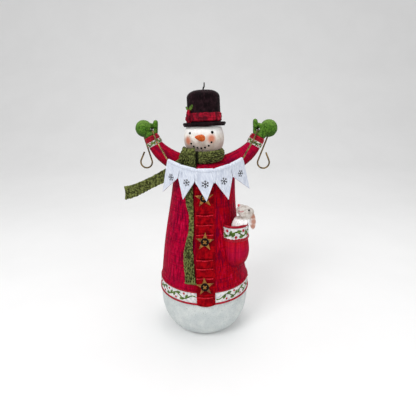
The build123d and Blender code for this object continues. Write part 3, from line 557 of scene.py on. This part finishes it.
class Shape:
    """Collects tubes, ribbons and blobs into one mesh."""

    def __init__(self):
        self.verts = []
        self.faces = []

    def tube(self, points, radius, up, sides=6):
        """A round tube through points; up is a reference direction or one per point."""
        count = len(points)
        base = len(self.verts)
        for i, point in enumerate(points):
            along = (points[min(i + 1, count - 1)] - points[max(i - 1, 0)]).normalized()
            side = along.cross(up[i] if isinstance(up, list) else up)
            if side.length < 1e-4:
                side = along.orthogonal()
            side.normalize()
            over = side.cross(along)
            size = radius(i / (count - 1)) if callable(radius) else radius
            for k in range(sides):
                turn = tau * k / sides
                self.verts.append(point + side * (size * cos(turn)) + over * (size * sin(turn)))
        for i in range(count - 1):
            a, b = base + i * sides, base + (i + 1) * sides
            for k in range(sides):
                n = (k + 1) % sides
                self.faces.append((a + k, a + n, b + n, b + k))
        self.faces.append(tuple(base + k for k in range(sides)))
        last = base + (count - 1) * sides
        self.faces.append(tuple(last + k for k in reversed(range(sides))))

    def blob(self, centre, normal, radius, flat=0.7, rings=4, sides=10):
        """A rounded bead standing on a surface."""
        normal = normal.normalized()
        side = normal.orthogonal().normalized()
        over = normal.cross(side)
        base = len(self.verts)
        self.verts.append(centre + normal * (radius * flat))
        for ring in range(1, rings + 1):
            tilt = pi * 0.62 * ring / rings
            for k in range(sides):
                turn = tau * k / sides
                spread = radius * sin(tilt)
                self.verts.append(centre + side * (spread * cos(turn)) + over * (spread * sin(turn))
                                  + normal * (radius * flat * cos(tilt)))
        for k in range(sides):
            self.faces.append((base, base + 1 + k, base + 1 + (k + 1) % sides))
        for ring in range(rings - 1):
            a, b = base + 1 + ring * sides, base + 1 + (ring + 1) * sides
            for k in range(sides):
                n = (k + 1) % sides
                self.faces.append((a + k, b + k, b + n, a + n))
        self.faces.append(tuple(base + 1 + (rings - 1) * sides + k for k in reversed(range(sides))))

    def fan(self, rim, middle):
        """A leaf or facet: rim points joined to a raised middle."""
        base = len(self.verts)
        self.verts.append(middle)
        self.verts += rim
        count = len(rim)
        for k in range(count):
            self.faces.append((base, base + 1 + k, base + 1 + (k + 1) % count))

    def grid(self, rows):
        """A surface through rows of points."""
        base = len(self.verts)
        width = len(rows[0])
        for row in rows:
            self.verts += row
        for i in range(len(rows) - 1):
            a, b = base + i * width, base + (i + 1) * width
            for k in range(width - 1):
                self.faces.append((a + k, a + k + 1, b + k + 1, b + k))

    def piece(self, name, material, slot, body="figure", smooth=True):
        return new_mesh(name, self.verts, self.faces, material, body, smooth)


# ---- knitting
def normal_at(surface, s, t):
    ds = surface(min(s + 0.004, 1), t) - surface(max(s - 0.004, 0), t)
    dt = surface(s, min(t + 0.01, 1)) - surface(s, max(t - 0.01, 0))
    return ds.cross(dt).normalized()


def knit(shape, surface, rows, columns, girth, flip, bound=(False, False), seed=1):
    """Chunky V stitches in columns along a surface, s along it and t across it."""
    rng = random.Random(seed)
    for row in range(rows):
        for column in range(columns):
            lean = rng.uniform(-0.06, 0.06)
            for way in (-1, 1):
                size = girth * rng.uniform(0.88, 1.12)
                points, ups = [], []
                for k in range(8):
                    q = k / 7
                    along = (row + 0.5 + (q - 0.5) * 1.35 + lean) / rows
                    across = (column + 0.5 + way * (0.42 - 0.33 * q) + lean * 0.5) / columns
                    s, t = min(max(along, 0.0), 1.0), across + lean * 0.3
                    normal = normal_at(surface, s, t) * flip
                    points.append(surface(s, t) + normal * (0.7 * sin(pi * q) - 0.1))
                    ups.append(normal)
                if (points[0] - points[-1]).length < 0.8:
                    continue
                shape.tube(points, lambda q, size=size: size * (0.3 + 0.7 * sin(pi * q)), ups, 8)
    for end, wanted in enumerate(bound):
        if not wanted:
            continue
        points = []
        for k in range(10 * columns + 1):
            t = k / (10 * columns)
            wobble = 0.35 * sin(tau * k / 5)
            points.append(surface(float(end), t) + normal_at(surface, abs(end - 0.01), t) * wobble)
        shape.tube(points, lambda q: girth * (1.25 + 0.3 * sin(q * columns * 12.6)),
                   normal_at(surface, abs(end - 0.01), 0.5), 8)


def backing(name, surface, across, along, sink, flip, material):
    """One thin sheet just under the loops: painted shade in the gaps between the stitches."""
    shape = Shape()
    rows = []
    for i in range(along + 1):
        s = i / along
        row = []
        for k in range(across + 1):
            t = k / across
            row.append(surface(s, t) - normal_at(surface, s, t) * (sink * flip))
        rows.append(row)
    shape.grid(rows)
    return shape.piece(name, material, "knit")


NECK = Vector((-1.3, -1.6, 188.6))


def wrap_surface(s, t):
    """Once round the neck, its two long edges rolled in."""
    turn = tau * s
    roll = (t * 2 - 1) * 1.95
    swell = -2.7 + 3.1 * cos(roll) + 0.35 * sin(3 * turn + 1.0)
    lift = 0.5 * sin(turn * 2 + 0.6)
    x = NECK.x + (20.2 + swell) * cos(turn)
    y = NECK.y + (21.8 + swell) * sin(turn)
    return Vector((x, y, NECK.z + lift + 0.7 * cos(turn) + 0.7 * sin(turn) + 4.7 * sin(roll)))


FOLD_LEFT = through(((0.0, -19.6), (0.3, -22.8), (0.65, -25.6), (0.85, -25.8), (1.0, -22.6)))
FOLD_RIGHT = through(((0.0, -8.6), (0.5, -7.4), (1.0, -7.6)))


def fold_surface(s, t):
    """The end that comes over the wrap and hangs down in front."""
    x = FOLD_LEFT(s) * (1 - t) + FOLD_RIGHT(s) * t
    z = 196.9 - s * (20.2 - 0.2 * t) - 1.2 * s * t - 0.6 * sin(pi * t)
    edge = abs(2 * t - 1) ** 3
    over = max(0.0, 1 - s / 0.16)
    tuck = max(0.0, (s - 0.85) / 0.15)
    swell = -1.8 * edge - 4.2 * over ** 2 - 1.2 * tuck + 0.5 * sin(4.0 * s + 3.0 * t)
    a, b = 23.9 + swell, 25.4 + swell
    ratio = min(max((x + 1.3) / a, -0.985), 0.985)
    return Vector((x, -2.6 - b * sqrt(1 - ratio ** 2), z))


TAIL_LEFT = through(((180.0, -18.6), (149.7, -17.6), (135.0, -14.2), (121.0, -14.2), (108.3, -17.2),
                     (94.0, -19.8), (80.0, -19.0), (68.0, -18.4)))
TAIL_RIGHT = through(((180.0, -10.4), (150.0, -10.3), (135.4, -9.9), (121.4, -9.9), (109.0, -10.9),
                      (95.0, -10.2), (80.0, -9.0), (68.6, -7.8)))
COAT_RADIUS = through(((59.8, 47.0), (80, 43.6), (102, 40.1), (130, 35.5), (150, 33.0), (170, 31.2),
                       (181, 27.0)))
COAT_DRIFT = through(((59.8, 0.0), (80, -1.2), (102, -1.9), (130, -1.7), (150, -0.8), (170, 0.0)))


def front_tail_surface(s, t):
    """Down the front of the coat beside the placket."""
    z = 180.0 - 111.7 * s
    x = TAIL_LEFT(z) * (1 - t) + TAIL_RIGHT(z) * t
    reach = COAT_RADIUS(z) + 1.75 + 0.35 * sin(z * 0.17)
    beside = x - COAT_DRIFT(z)
    return Vector((x, -sqrt(reach ** 2 - beside ** 2), z))


SIDE_PLAN = through(((-20.5, -26.2), (-30.0, -14.8), (-43.0, -9.6), (-60.0, -8.2), (-84.0, -8.0)))
SIDE_TOP = through(((-20.0, 189.0), (-41.0, 174.0), (-60.0, 164.0), (-73.0, 158.8), (-82.0, 156.6)))
SIDE_LOW = through(((-20.0, 173.0), (-40.0, 162.2), (-58.0, 152.9), (-72.0, 146.0), (-82.0, 143.4)))


def side_tail_surface(s, t):
    """Away over the left arm's foot, flying out to the side."""
    x = -22.0 - 58.6 * s
    z = SIDE_LOW(x) * (1 - t) + SIDE_TOP(x) * t
    y = SIDE_PLAN(x) + 0.7 * sin(s * 9.0) * (t - 0.5) + 0.5 * sin(s * 14.0)
    return Vector((x + 0.8 * sin(pi * t) * s, y, z))


def make_scarf():
    yarn_paint, gap_shade_material = knit_paint(), gap_shade_paint()
    parts = (
        ("wrap", wrap_surface, 32, 5, 0.82, (False, False), (0.0150, 0.117), "draped", ["coat", "head"]),
        ("fold", fold_surface, 7, 5, 0.84, (False, True), (0.0185, 0.030), "folded", ["wrap_cloth"]),
        ("front_tail", front_tail_surface, 34, 3, 0.7, (False, True), (0.0102, 0.108), "hung", ["coat"]),
        ("side_tail", side_tail_surface, 18, 4, 0.84, (False, True), (0.0120, 0.072), "hung",
         ["left_sleeve"]),
    )
    for index, (short, surface, rows, columns, girth, bound, flat, held, rests) in enumerate(parts):
        outward = surface(0.5, 0.5) - NECK if short == "wrap" else FRONT
        flip = 1 if normal_at(surface, 0.5, 0.5).dot(outward) > 0 else -1
        # Each piece gets a near-black sheet under its loops: painted shade in the gaps between stitches.
        cloth = backing(short + "_cloth", surface, 10, max(rows, 12), 0.3, flip, gap_shade_material)
        shape = Shape()
        knit(shape, surface, rows, columns, girth, flip, bound, seed=index + 3)
        if short == "side_tail":
            knit(shape, surface, rows, columns, girth, -flip, seed=index + 13)
        loops = shape.piece(short + "_loops", yarn_paint, "knit")
        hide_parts("scarf_" + short)


# ---- painted holly
class Around:
    """Places on a CAD surface by angle round an axis and height along it."""

    def __init__(self, nodes, origin, axis, front, reach):
        self.tree = BVHTree.FromPolygons(*joined(nodes))
        self.origin = Vector(origin)
        self.axis = Vector(axis).normalized()
        self.front = Vector(front)
        self.front = (self.front - self.axis * self.front.dot(self.axis)).normalized()
        self.side = self.axis.cross(self.front)
        self.reach = reach

    def at(self, angle, height):
        out = self.front * cos(angle) + self.side * sin(angle)
        start = self.origin + self.axis * height + out * self.reach
        hit, normal, _, _ = self.tree.ray_cast(start, -out)
        if hit is None:
            return None, out
        return hit, normal if normal.dot(out) > 0 else -normal


def spun(u, v, turn):
    """(u, v) turned about the origin."""
    return u * cos(turn) - v * sin(turn), u * sin(turn) + v * cos(turn)


def painted_stroke(shape, around, path, width, proud=0.16):
    """A raised brush stroke that follows a path of (angle, height)."""
    rows = []
    hits = [around.at(angle, height) for angle, height in path]
    for i, (point, normal) in enumerate(hits):
        if point is None:
            if len(rows) > 1:
                shape.grid(rows)
            rows = []
            continue
        before = hits[max(i - 1, 0)][0] or point
        after = hits[min(i + 1, len(hits) - 1)][0] or point
        side = (after - before).cross(normal)
        if side.length < 1e-6:
            continue
        side.normalize()
        w = width * (0.8 + 0.2 * sin(i * 1.7))
        rows.append([point - side * w - normal * 0.05, point - side * (w * 0.5) + normal * proud,
                     point + side * (w * 0.5) + normal * proud, point + side * w - normal * 0.05])
    if len(rows) > 1:
        shape.grid(rows)


def painted_leaf(shape, around, angle, height, radius, length, width, turn, proud=0.22):
    """A small spiked holly leaf painted on the surface."""
    outline = ((0.0, 0.0), (0.18, 0.42), (0.3, 0.9), (0.42, 0.5), (0.58, 0.95), (0.7, 0.5), (0.84, 0.6),
               (1.0, 0.0))
    rim = []
    pairs = list(outline) + [(a, -b) for a, b in reversed(outline[1:-1])]
    for a, b in pairs:
        du, dv = spun((a - 0.5) * length, b * width / 2, turn)
        point, normal = around.at(angle + du / radius, height + dv)
        if point is None:
            return
        rim.append(point + normal * 0.04)
    point, normal = around.at(angle, height)
    if point is not None:
        shape.fan(rim, point + normal * proud)


def holly_run(name, around, radius, mid, swing, wave, start, stop, leaf, berry, greens, reds, stroke):
    """A wavy vine with leaves and berries along it."""
    vine, berries = Shape(), Shape()
    rng = random.Random(name)
    steps = int((stop - start) * radius / 0.8)
    path = []
    for i in range(steps + 1):
        angle = start + (stop - start) * i / steps
        path.append((angle, mid + swing * sin(tau * angle * radius / wave)))
    painted_stroke(vine, around, path, stroke)
    first, last = ceil(start * radius / (wave / 2)), floor(stop * radius / (wave / 2))
    for crest in range(first, last):
        arc = (crest + 0.5) * wave / 2
        place = mid + swing * sin(tau * arc / wave)
        for way in (-1, 1):
            spot = arc + way * 0.5 * leaf
            height = mid + swing * sin(tau * spot / wave) + way * 0.3 * leaf
            height = min(max(height, mid - 1.5 * swing), mid + 1.5 * swing)
            slope = atan(tau * swing / wave * cos(tau * spot / wave))
            painted_leaf(vine, around, spot / radius, height, radius, leaf, leaf * 0.66,
                         slope + 0.5 + rng.uniform(-0.2, 0.2))
        point, normal = around.at((arc + rng.uniform(-0.6, 0.6)) / radius, mid - (place - mid) * 1.4)
        if point is not None:
            berries.blob(point, normal, berry, 0.6)
    vine.piece(name + "_vine", greens, "holly_paint")
    berries.piece(name + "_berries", reds, "berry_paint")


def make_holly_trim(greens, reds, trim):
    hem = Around(["hem_band"], (0, 0, 0), UP, FRONT, 90)
    holly_run("hem", hem, 47.9, 53.1, 2.2, 19.0, radians(14.8), radians(350.2), 5.6, 1.2, greens, reds, 0.9)
    angle = radians(53)
    centre = (38.8 * sin(angle), -38.8 * cos(angle), 0)
    outward = (sin(angle), -cos(angle), 0)
    pocket = Around(["pocket_band"], centre, UP, outward, 40)
    holly_run("pocket", pocket, 13.6, 116.2, 2.1, 16.5, -1.84, 1.7, 5.8, 1.45, greens, reds, 1.1)
    lip = Shape()
    bottom = [(-1.92 + 3.7 * k / 60, 110.1 + 0.2 * sin(k * 0.4)) for k in range(61)]
    painted_stroke(lip, pocket, bottom, 1.5, 0.7)
    painted_stroke(lip, pocket, [(-1.9, 110.2 + 10.6 * k / 20) for k in range(21)], 0.9, 0.6)
    lip.piece("pocket_lip", trim, "coat_trim")
    for side, way in SIDES:
        foot, axis = cuff_frame(way)
        cuff = Around([side + "_cuff"], foot, axis, FRONT, 20)
        holly_run(side + "_cuff", cuff, 7.6, 2.5, 0.8, 11.9, 0.0, tau, 3.8, 0.8, greens, reds, 0.85)


def make_placket_ridges(material):
    """The raised lip under each pleat of the placket, painted bright red as a painted highlight."""
    placket = Around(["front_placket"], (0, 0, 0), UP, FRONT, 90)
    shape = Shape()
    for index, height in enumerate((172.0, 162.5, 135.8, 126.6, 117.3, 92.6, 84.2, 74.8, 55.6)):
        radius = COAT_RADIUS(max(height, 60.0))
        path = []
        for k in range(25):
            x = -7.0 + 15.6 * k / 24
            path.append((x / radius, height - 1.25 + 0.25 * sin(x * 0.5 + index * 2.0)))
        painted_stroke(shape, placket, path, 0.62, 0.5)
    shape.piece("placket_ridges", material, "coat_paint")


# ---- stars, buttons and thread
def star_frame(index):
    """Origin on the placket, and the star's X, up and outward directions."""
    z = (151.6, 110.2, 66.6)[index]
    x = (0.3, 0.9, 0.9)[index]
    slope = atan((COAT_RADIUS(z - 8) - COAT_RADIUS(z + 8)) / 16)
    low, high = (Vector(corner) * 1000 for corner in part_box(f"star_{index + 1}"))
    out = Vector((0, -cos(slope), sin(slope)))
    up = Vector((0, sin(slope), cos(slope)))
    middle = Vector((x, (low.y + high.y) / 2, (low.z + high.z) / 2 - 0.9 * cos(slope)))
    return middle, Vector((1, 0, 0)), up, out


def make_stars(tin, black, gold):
    threads = Shape()
    for index in range(3):
        button_box = [Vector(c) * 1000 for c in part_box(f"button_{index + 1}")]
        seat = (button_box[0] + button_box[1]) / 2
        _, right, up, out = star_frame(index)
        centre = seat - out * 1.85

        def at(u, v, w):
            return centre + right * u + up * v + out * w

        star = Shape()
        rim, lower = [], []
        turn = radians((4, -3, 5)[index])
        for k in range(10):
            reach = 9.3 if k % 2 == 0 else 3.7
            angle = pi / 2 + turn + pi / 5 * k
            curl = 0.25 * sin(k * 2.1 + index) if k % 2 == 0 else 0.0
            high, low = (0.45, 0.05) if k % 2 == 0 else (0.15, -0.25)
            rim.append(at(*polar(reach, angle), high + curl))
            lower.append(at(*polar(reach, angle), low + curl))
        base = len(star.verts)
        star.verts += rim + lower + [at(0, 0, 1.15), at(0, 0, 0.0)]
        for k in range(10):
            n = (k + 1) % 10
            star.faces.append((base + 20, base + k, base + n))
            star.faces.append((base + 21, base + 10 + n, base + 10 + k))
            star.faces.append((base + k, base + 10 + k, base + 10 + n, base + n))
        piece = star.piece(f"tin_star_{index + 1}", tin, "rusty_tin", smooth=False)
        edge = piece.modifiers.new("edge", "BEVEL")
        edge.width = 0.00012
        edge.segments = 2
        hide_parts(f"star_{index + 1}")

        button = Shape()
        profile = ((0.02, 1.95), (1.7, 1.9), (2.3, 2.0), (2.7, 2.45), (3.2, 2.55), (3.7, 2.3), (3.9, 1.9),
                   (3.85, 1.4), (3.6, 1.25), (0.02, 1.25))
        rows = []
        for k in range(41):
            angle = tau * k / 40
            rows.append([at(*polar(r, angle), w) for r, w in profile])
        button.grid(rows)
        piece = button.piece(f"coat_button_{index + 1}", black, "button_black")
        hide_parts(f"button_{index + 1}")

        for cross, turn in enumerate((radians(42), radians(-48))):
            for strand in (-0.42, 0.0, 0.42):
                points = []
                for k in range(13):
                    t = k / 12 * 2 - 1
                    u, v = spun(t * 2.1, strand, turn)
                    points.append(at(u, v, 1.75 + 0.95 * (1 - t ** 4) + 0.16 * cross))
                threads.tube(points, 0.21, out)
    piece = threads.piece("gold_threads", gold, "gold_thread")
    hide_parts("button_threads")


# ---- hat ribbon and holly
HAT_FRAME = Matrix.Translation((0.4, 0, 216.4)) @ Matrix.Rotation(radians(-2.5), 4, "Y")


def make_hat_ribbon(ribbon):
    """A crinkled ribbon round the crown, with worn, wavy edges."""
    shape = Shape()
    rows = []
    for k in range(181):
        turn = tau * k / 180
        round_trip = Vector((cos(turn) * 3, sin(turn) * 3, 0))
        low = 4.5 + 0.35 * noise.noise(round_trip)
        high = 12.7 + 0.45 * noise.noise(round_trip + Vector((5, 0, 0)))
        row = []
        for j in range(15):
            t = j / 14
            height = low + (high - low) * t
            wave = noise.noise(Vector((cos(turn) * 4, sin(turn) * 4, t * 2.6)))
            ply = 0.22 * sin(t * pi * 5 + 2.2 * wave)
            swell = 17.35 + 0.5 * wave + ply - 1.1 * abs(2 * t - 1) ** 8
            row.append(HAT_FRAME @ Vector((swell * cos(turn), swell * sin(turn), height)))
        rows.append(row)
    shape.grid(rows)
    piece = shape.piece("hat_ribbon", ribbon, "hat_ribbon")
    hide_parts("hat_band")


def holly_leaf(shape, root, tip, face, width, curl=0.6):
    """A carved holly leaf with spikes and a pressed midrib."""
    along = tip - root
    length = along.length
    along.normalize()
    side = face.cross(along).normalized()
    face = along.cross(side).normalized()
    outline = ((0.0, 0.06), (0.16, 0.5), (0.28, 1.0), (0.4, 0.6), (0.56, 1.0), (0.7, 0.55), (0.84, 0.7),
               (1.0, 0.02))
    for way in (1, -1):
        rows = []
        for a, b in outline:
            bow = curl * sin(pi * a)
            rib = root + along * (a * length) + face * bow
            edge = rib + side * (way * b * width / 2) - face * (0.35 * b)
            middle = rib + side * (way * b * width / 4) + face * 0.32
            rows.append([rib, middle, edge])
        shape.grid(rows)


def make_hat_holly(material):
    """Three leaves that spring from the knot."""
    shape = Shape()
    root = Vector((-13.9, -10.6, 230.9))
    holly_leaf(shape, root, Vector((-10.4, -13.2, 236.0)), Vector((-0.3, -0.95, 0.1)), 3.6)
    holly_leaf(shape, root, Vector((-17.2, -9.6, 234.2)), Vector((-0.6, -0.8, 0.1)), 3.0)
    holly_leaf(shape, root, Vector((-17.0, -4.6, 233.4)), Vector((-0.95, -0.3, 0.1)), 3.0)
    piece = shape.piece("holly_sprig", material, "holly_paint")
    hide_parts("holly_leaves")


# ---- bunting marks
PENNANT_CORNERS = ((-34.4, -21.0, 185.3), (-20.9, -32.9, 181.2), (-6.5, -40.4, 178.5), (9.6, -40.4, 178.7),
                   (23.8, -32.9, 182.0), (36.9, -21.0, 186.9))
MARK_ARM, MARK_HALF = 3.9, 0.46


def make_bunting_marks(ink):
    """A small six-armed frost mark on each pennant."""
    places = ((4.6, 169.6), (5.9, 166.6), (7.9, 166.0), (10.0, 168.0), (14.4, 173.2))
    shape = Shape()
    for index, (u, z) in enumerate(places):
        (x0, y0, _), (x1, y1, _) = PENNANT_CORNERS[index:index + 2]
        along = Vector((x1 - x0, y1 - y0, 0)).normalized()
        out = Vector((along.y, -along.x, 0))
        tree = BVHTree.FromPolygons(*joined([f"pennant_{index + 1}"]))
        tilt = radians((-28, -14, 0, 14, 24)[index])

        def on_tin(du, dv):
            a, h = spun(du, dv, tilt)
            start = Vector((x0, y0, z + h)) + along * (u + a) + out * 30
            return tree.ray_cast(start, -out)[0]

        for arm in range(6):
            spoke = radians(60 * arm + 30)
            strokes = [((0.0, 0.0), polar(MARK_ARM, spoke))]
            for way in (-1, 1):
                fork = spoke + way * radians(45)
                foot = polar(2.0, spoke)
                strokes.append((foot, (foot[0] + 1.5 * cos(fork), foot[1] + 1.5 * sin(fork))))
            for (a0, b0), (a1, b1) in strokes:
                ends = [on_tin(a0, b0), on_tin(a1, b1)]
                if None in ends:
                    continue
                line = ends[1] - ends[0]
                side = line.cross(out).normalized() * MARK_HALF
                rows = []
                for step in range(5):
                    point = ends[0] + line * (step / 4)
                    w = side * (1.0 - 0.12 * step)
                    rows.append([point - w - out * 0.03, point - w * 0.6 + out * 0.08,
                                 point + w * 0.6 + out * 0.08, point + w - out * 0.03])
                shape.grid(rows)
    shape.piece("bunting_marks", ink, "dark_wire", "banner")


def make_bunting_joints(tin):
    """Folded white tabs that close the seams between pennants, over the wire at the top."""
    shape = Shape()
    for index in range(1, 5):
        before, corner, after = (Vector(PENNANT_CORNERS[index + k]) for k in (-1, 0, 1))
        away, ahead = (before - corner).normalized(), (after - corner).normalized()
        rows = []
        for k in range(9):
            step = (k - 4) / 4 * 1.9
            heading = (ahead if step > 0 else away)
            along = (ahead - away).normalized()
            out = Vector((along.y, -along.x, 0)).normalized()
            middle = corner + heading * abs(step) - out * 0.12
            ring = []
            for j in range(13):
                turn = tau * j / 12
                ring.append(middle + out * (1.5 * cos(turn)) + Vector((0, 0, 1.5 * sin(turn))))
            rows.append(ring)
        shape.grid(rows)
        depth = (10.6, 12.6, 11.6, 10.6)[index - 1]
        rows = []
        for k in range(13):
            drop = depth * k / 12
            half = 1.7 * (1 - 0.75 * (k / 12) ** 2)
            row = []
            for j in range(5):
                side = (j / 2 - 1) * half
                heading = ahead if side > 0 else away
                over = out * (1.0 - 0.04 * abs(side))
                row.append(corner + heading * abs(side) + over - Vector((0, 0, drop)))
            rows.append(row)
        shape.grid(rows)
    shape.piece("bunting_joints", tin, "white_tin", "banner")


# ---- assembly
def main():
    make_camera()
    make_studio()

    dress(["coat"], coat_paint("coat_paint", red_centre=22))
    pocket = coat_paint("pocket_cloth", light="#D4284C", base="#AC0C36", red="#BE1220", brushed=0.35)
    dress(["pocket_pouch"], pocket)
    for side, way in SIDES:
        dress([side + "_sleeve"], coat_paint(side + "_sleeve_paint", turn=(0, -52 * way, 0)))
        dress([side + "_cuff"], cuff_paint(side + "_cuff_paint", way))
    dress(["front_placket"], placket_paint())
    dress(["snow_base"], snow_paint())
    dress(["head"], face_paint())
    trim = rubbed_paint("coat_trim", "#80001C", "#B40A28", 0.45, 1.4, 0.25, shine=0.2)
    dress(["hem_piping_upper", "hem_piping_lower", "left_cuff_piping", "right_cuff_piping", "pocket_rim",
           "pocket_seam"], trim)
    white = rubbed_paint("holly_ground", "#BDBDC2", "#E4E3E0", 0.5, 1.0, 0.3)
    dress(["hem_band", "pocket_band"], white)
    dress(["nose"], rubbed_paint("nose_paint", "#C24408", "#E87020", 0.45, 1.3, 0.35, (1, 1, 1.6),
                                 shine=0.3))
    beads = rubbed_paint("black_bead", "#040404", "#110F10", 0.5, 2.0, 0.08, shine=0.1)
    dress(["eye_beads", "mouth_beads", "bunny_eyes"], beads)
    dress(["hat_crown", "hat_brim"], hat_paint())
    dress(["bunny_nose"], rubbed_paint("pink_paint", "#C83C48", "#E86A70", 0.45, 2.0, 0.1))
    dress(["banner_wire"], wire_metal("brass_wire", "#967C4C", "#2A2018", 0.7))
    dress(["hanging_eye"], wire_metal("dark_wire", "#241F1C", "#0B0909"))
    whitened = white_tin()
    dress([f"pennant_{i}" for i in range(1, 6)], whitened)
    make_bunting_joints(whitened)
    tin = rusty_tin()
    dress(["star_pins"], tin)
    wood = rubbed_paint("bare_wood", "#B08C5C", "#D8BC8C", 0.6, 0.8, 0.2, (1, 1, 0.15))
    dress(["left_arm_dowel", "right_arm_dowel", "neck_dowel", "hat_dowel"], wood)

    greens = rubbed_paint("holly_green", "#2C4808", "#5E7A26", 0.55, 1.2, 0.2, shine=0.25)
    reds = rubbed_paint("berry_red", "#860014", "#B80A20", 0.4, 1.6, 0.1, shine=0.3)
    make_holly_trim(greens, reds, trim)
    # Painted highlight: the pleat lips are a brighter red than the placket.
    lip_highlight = rubbed_paint("ridge_paint", "#A00818", "#D82038", 0.45, 0.8, 0.3, shine=0.15)
    make_placket_ridges(lip_highlight)
    make_hat_holly(greens)
    dress(["holly_berries"], reds)

    wool = mitten_paint()
    fillers = (("left", (-52.3, 4.4, 215.5, 2.3), 2.0), ("right", (53.2, 4.4, 215.4, 2.4), 5.0))
    for side, filler, seed in fillers:
        organic(side + "_mitten_wool", [side + "_mitten"], 0.55, 3, 0.16, 1.6, wool, "mitten_paint",
                (filler,), seed)

    ribbon = ribbon_paint()
    make_hat_ribbon(ribbon)
    organic("ribbon_knot", ["hat_band_knot"], 0.4, 2, 0.45, 1.8, ribbon, "hat_ribbon",
            ((-15.1, -10.0, 223.2, 2.7), (-14.8, -10.0, 226.6, 2.4), (-14.4, -10.1, 229.4, 1.9),
             (-14.2, -10.0, 231.2, 1.3)), 1.0)

    fur = bunny_paint()
    jowls = ((36.6, -29.8, 138.4, 4.3), (34.9, -27.2, 137.4, 3.9), (38.6, -30.0, 135.0, 4.6),
             (44.6, -25.2, 135.2, 4.6), (45.8, -26.2, 133.0, 3.2), (41.0, -27.8, 131.8, 4.4))
    organic("bunny_fur", ["bunny_head", "bunny_ear_near", "bunny_ear_far"], 0.4, 4, 0.18, 1.5, fur,
            "bunny_paint", jowls)
    breast = ((38.4, -27.4, 126.6, 5.0),)
    organic("bunny_chest", ["bunny_body"], 0.5, 4, 0.25, 1.8, fur, "bunny_paint", breast, 3.0)

    black = rubbed_paint("button_black", "#050505", "#141114", 0.6, 1.5, 0.08, shine=0.08)
    make_stars(tin, black, rubbed_paint("gold_thread", "#84581C", "#B48238", 0.5, 3.0, 0.1, Metallic=0.3))
    make_bunting_marks(rubbed_paint("frost_ink", "#18171C", "#34313A", 0.6, 2.0, 0.05))
    make_scarf()

    stage = Shape()
    ground = rubbed_paint("studio_floor", "#F1F1F1", "#F3F3F3", 0.8, 0.02, 0.001)
    profile = [(-2.0, 0.0), (0.5, 0.0), (0.9, 0.05), (1.2, 0.2), (1.45, 0.5), (1.6, 1.0), (1.65, 2.5)]
    rows = [[Vector((x * 1000, y * 1000, z * 1000 - 0.2)) for x in (-3, -1, 1, 3)] for y, z in profile]
    stage.grid(rows)
    backdrop = stage.piece("studio_floor", ground, "snow_paint")
    backdrop.parent = None


main()
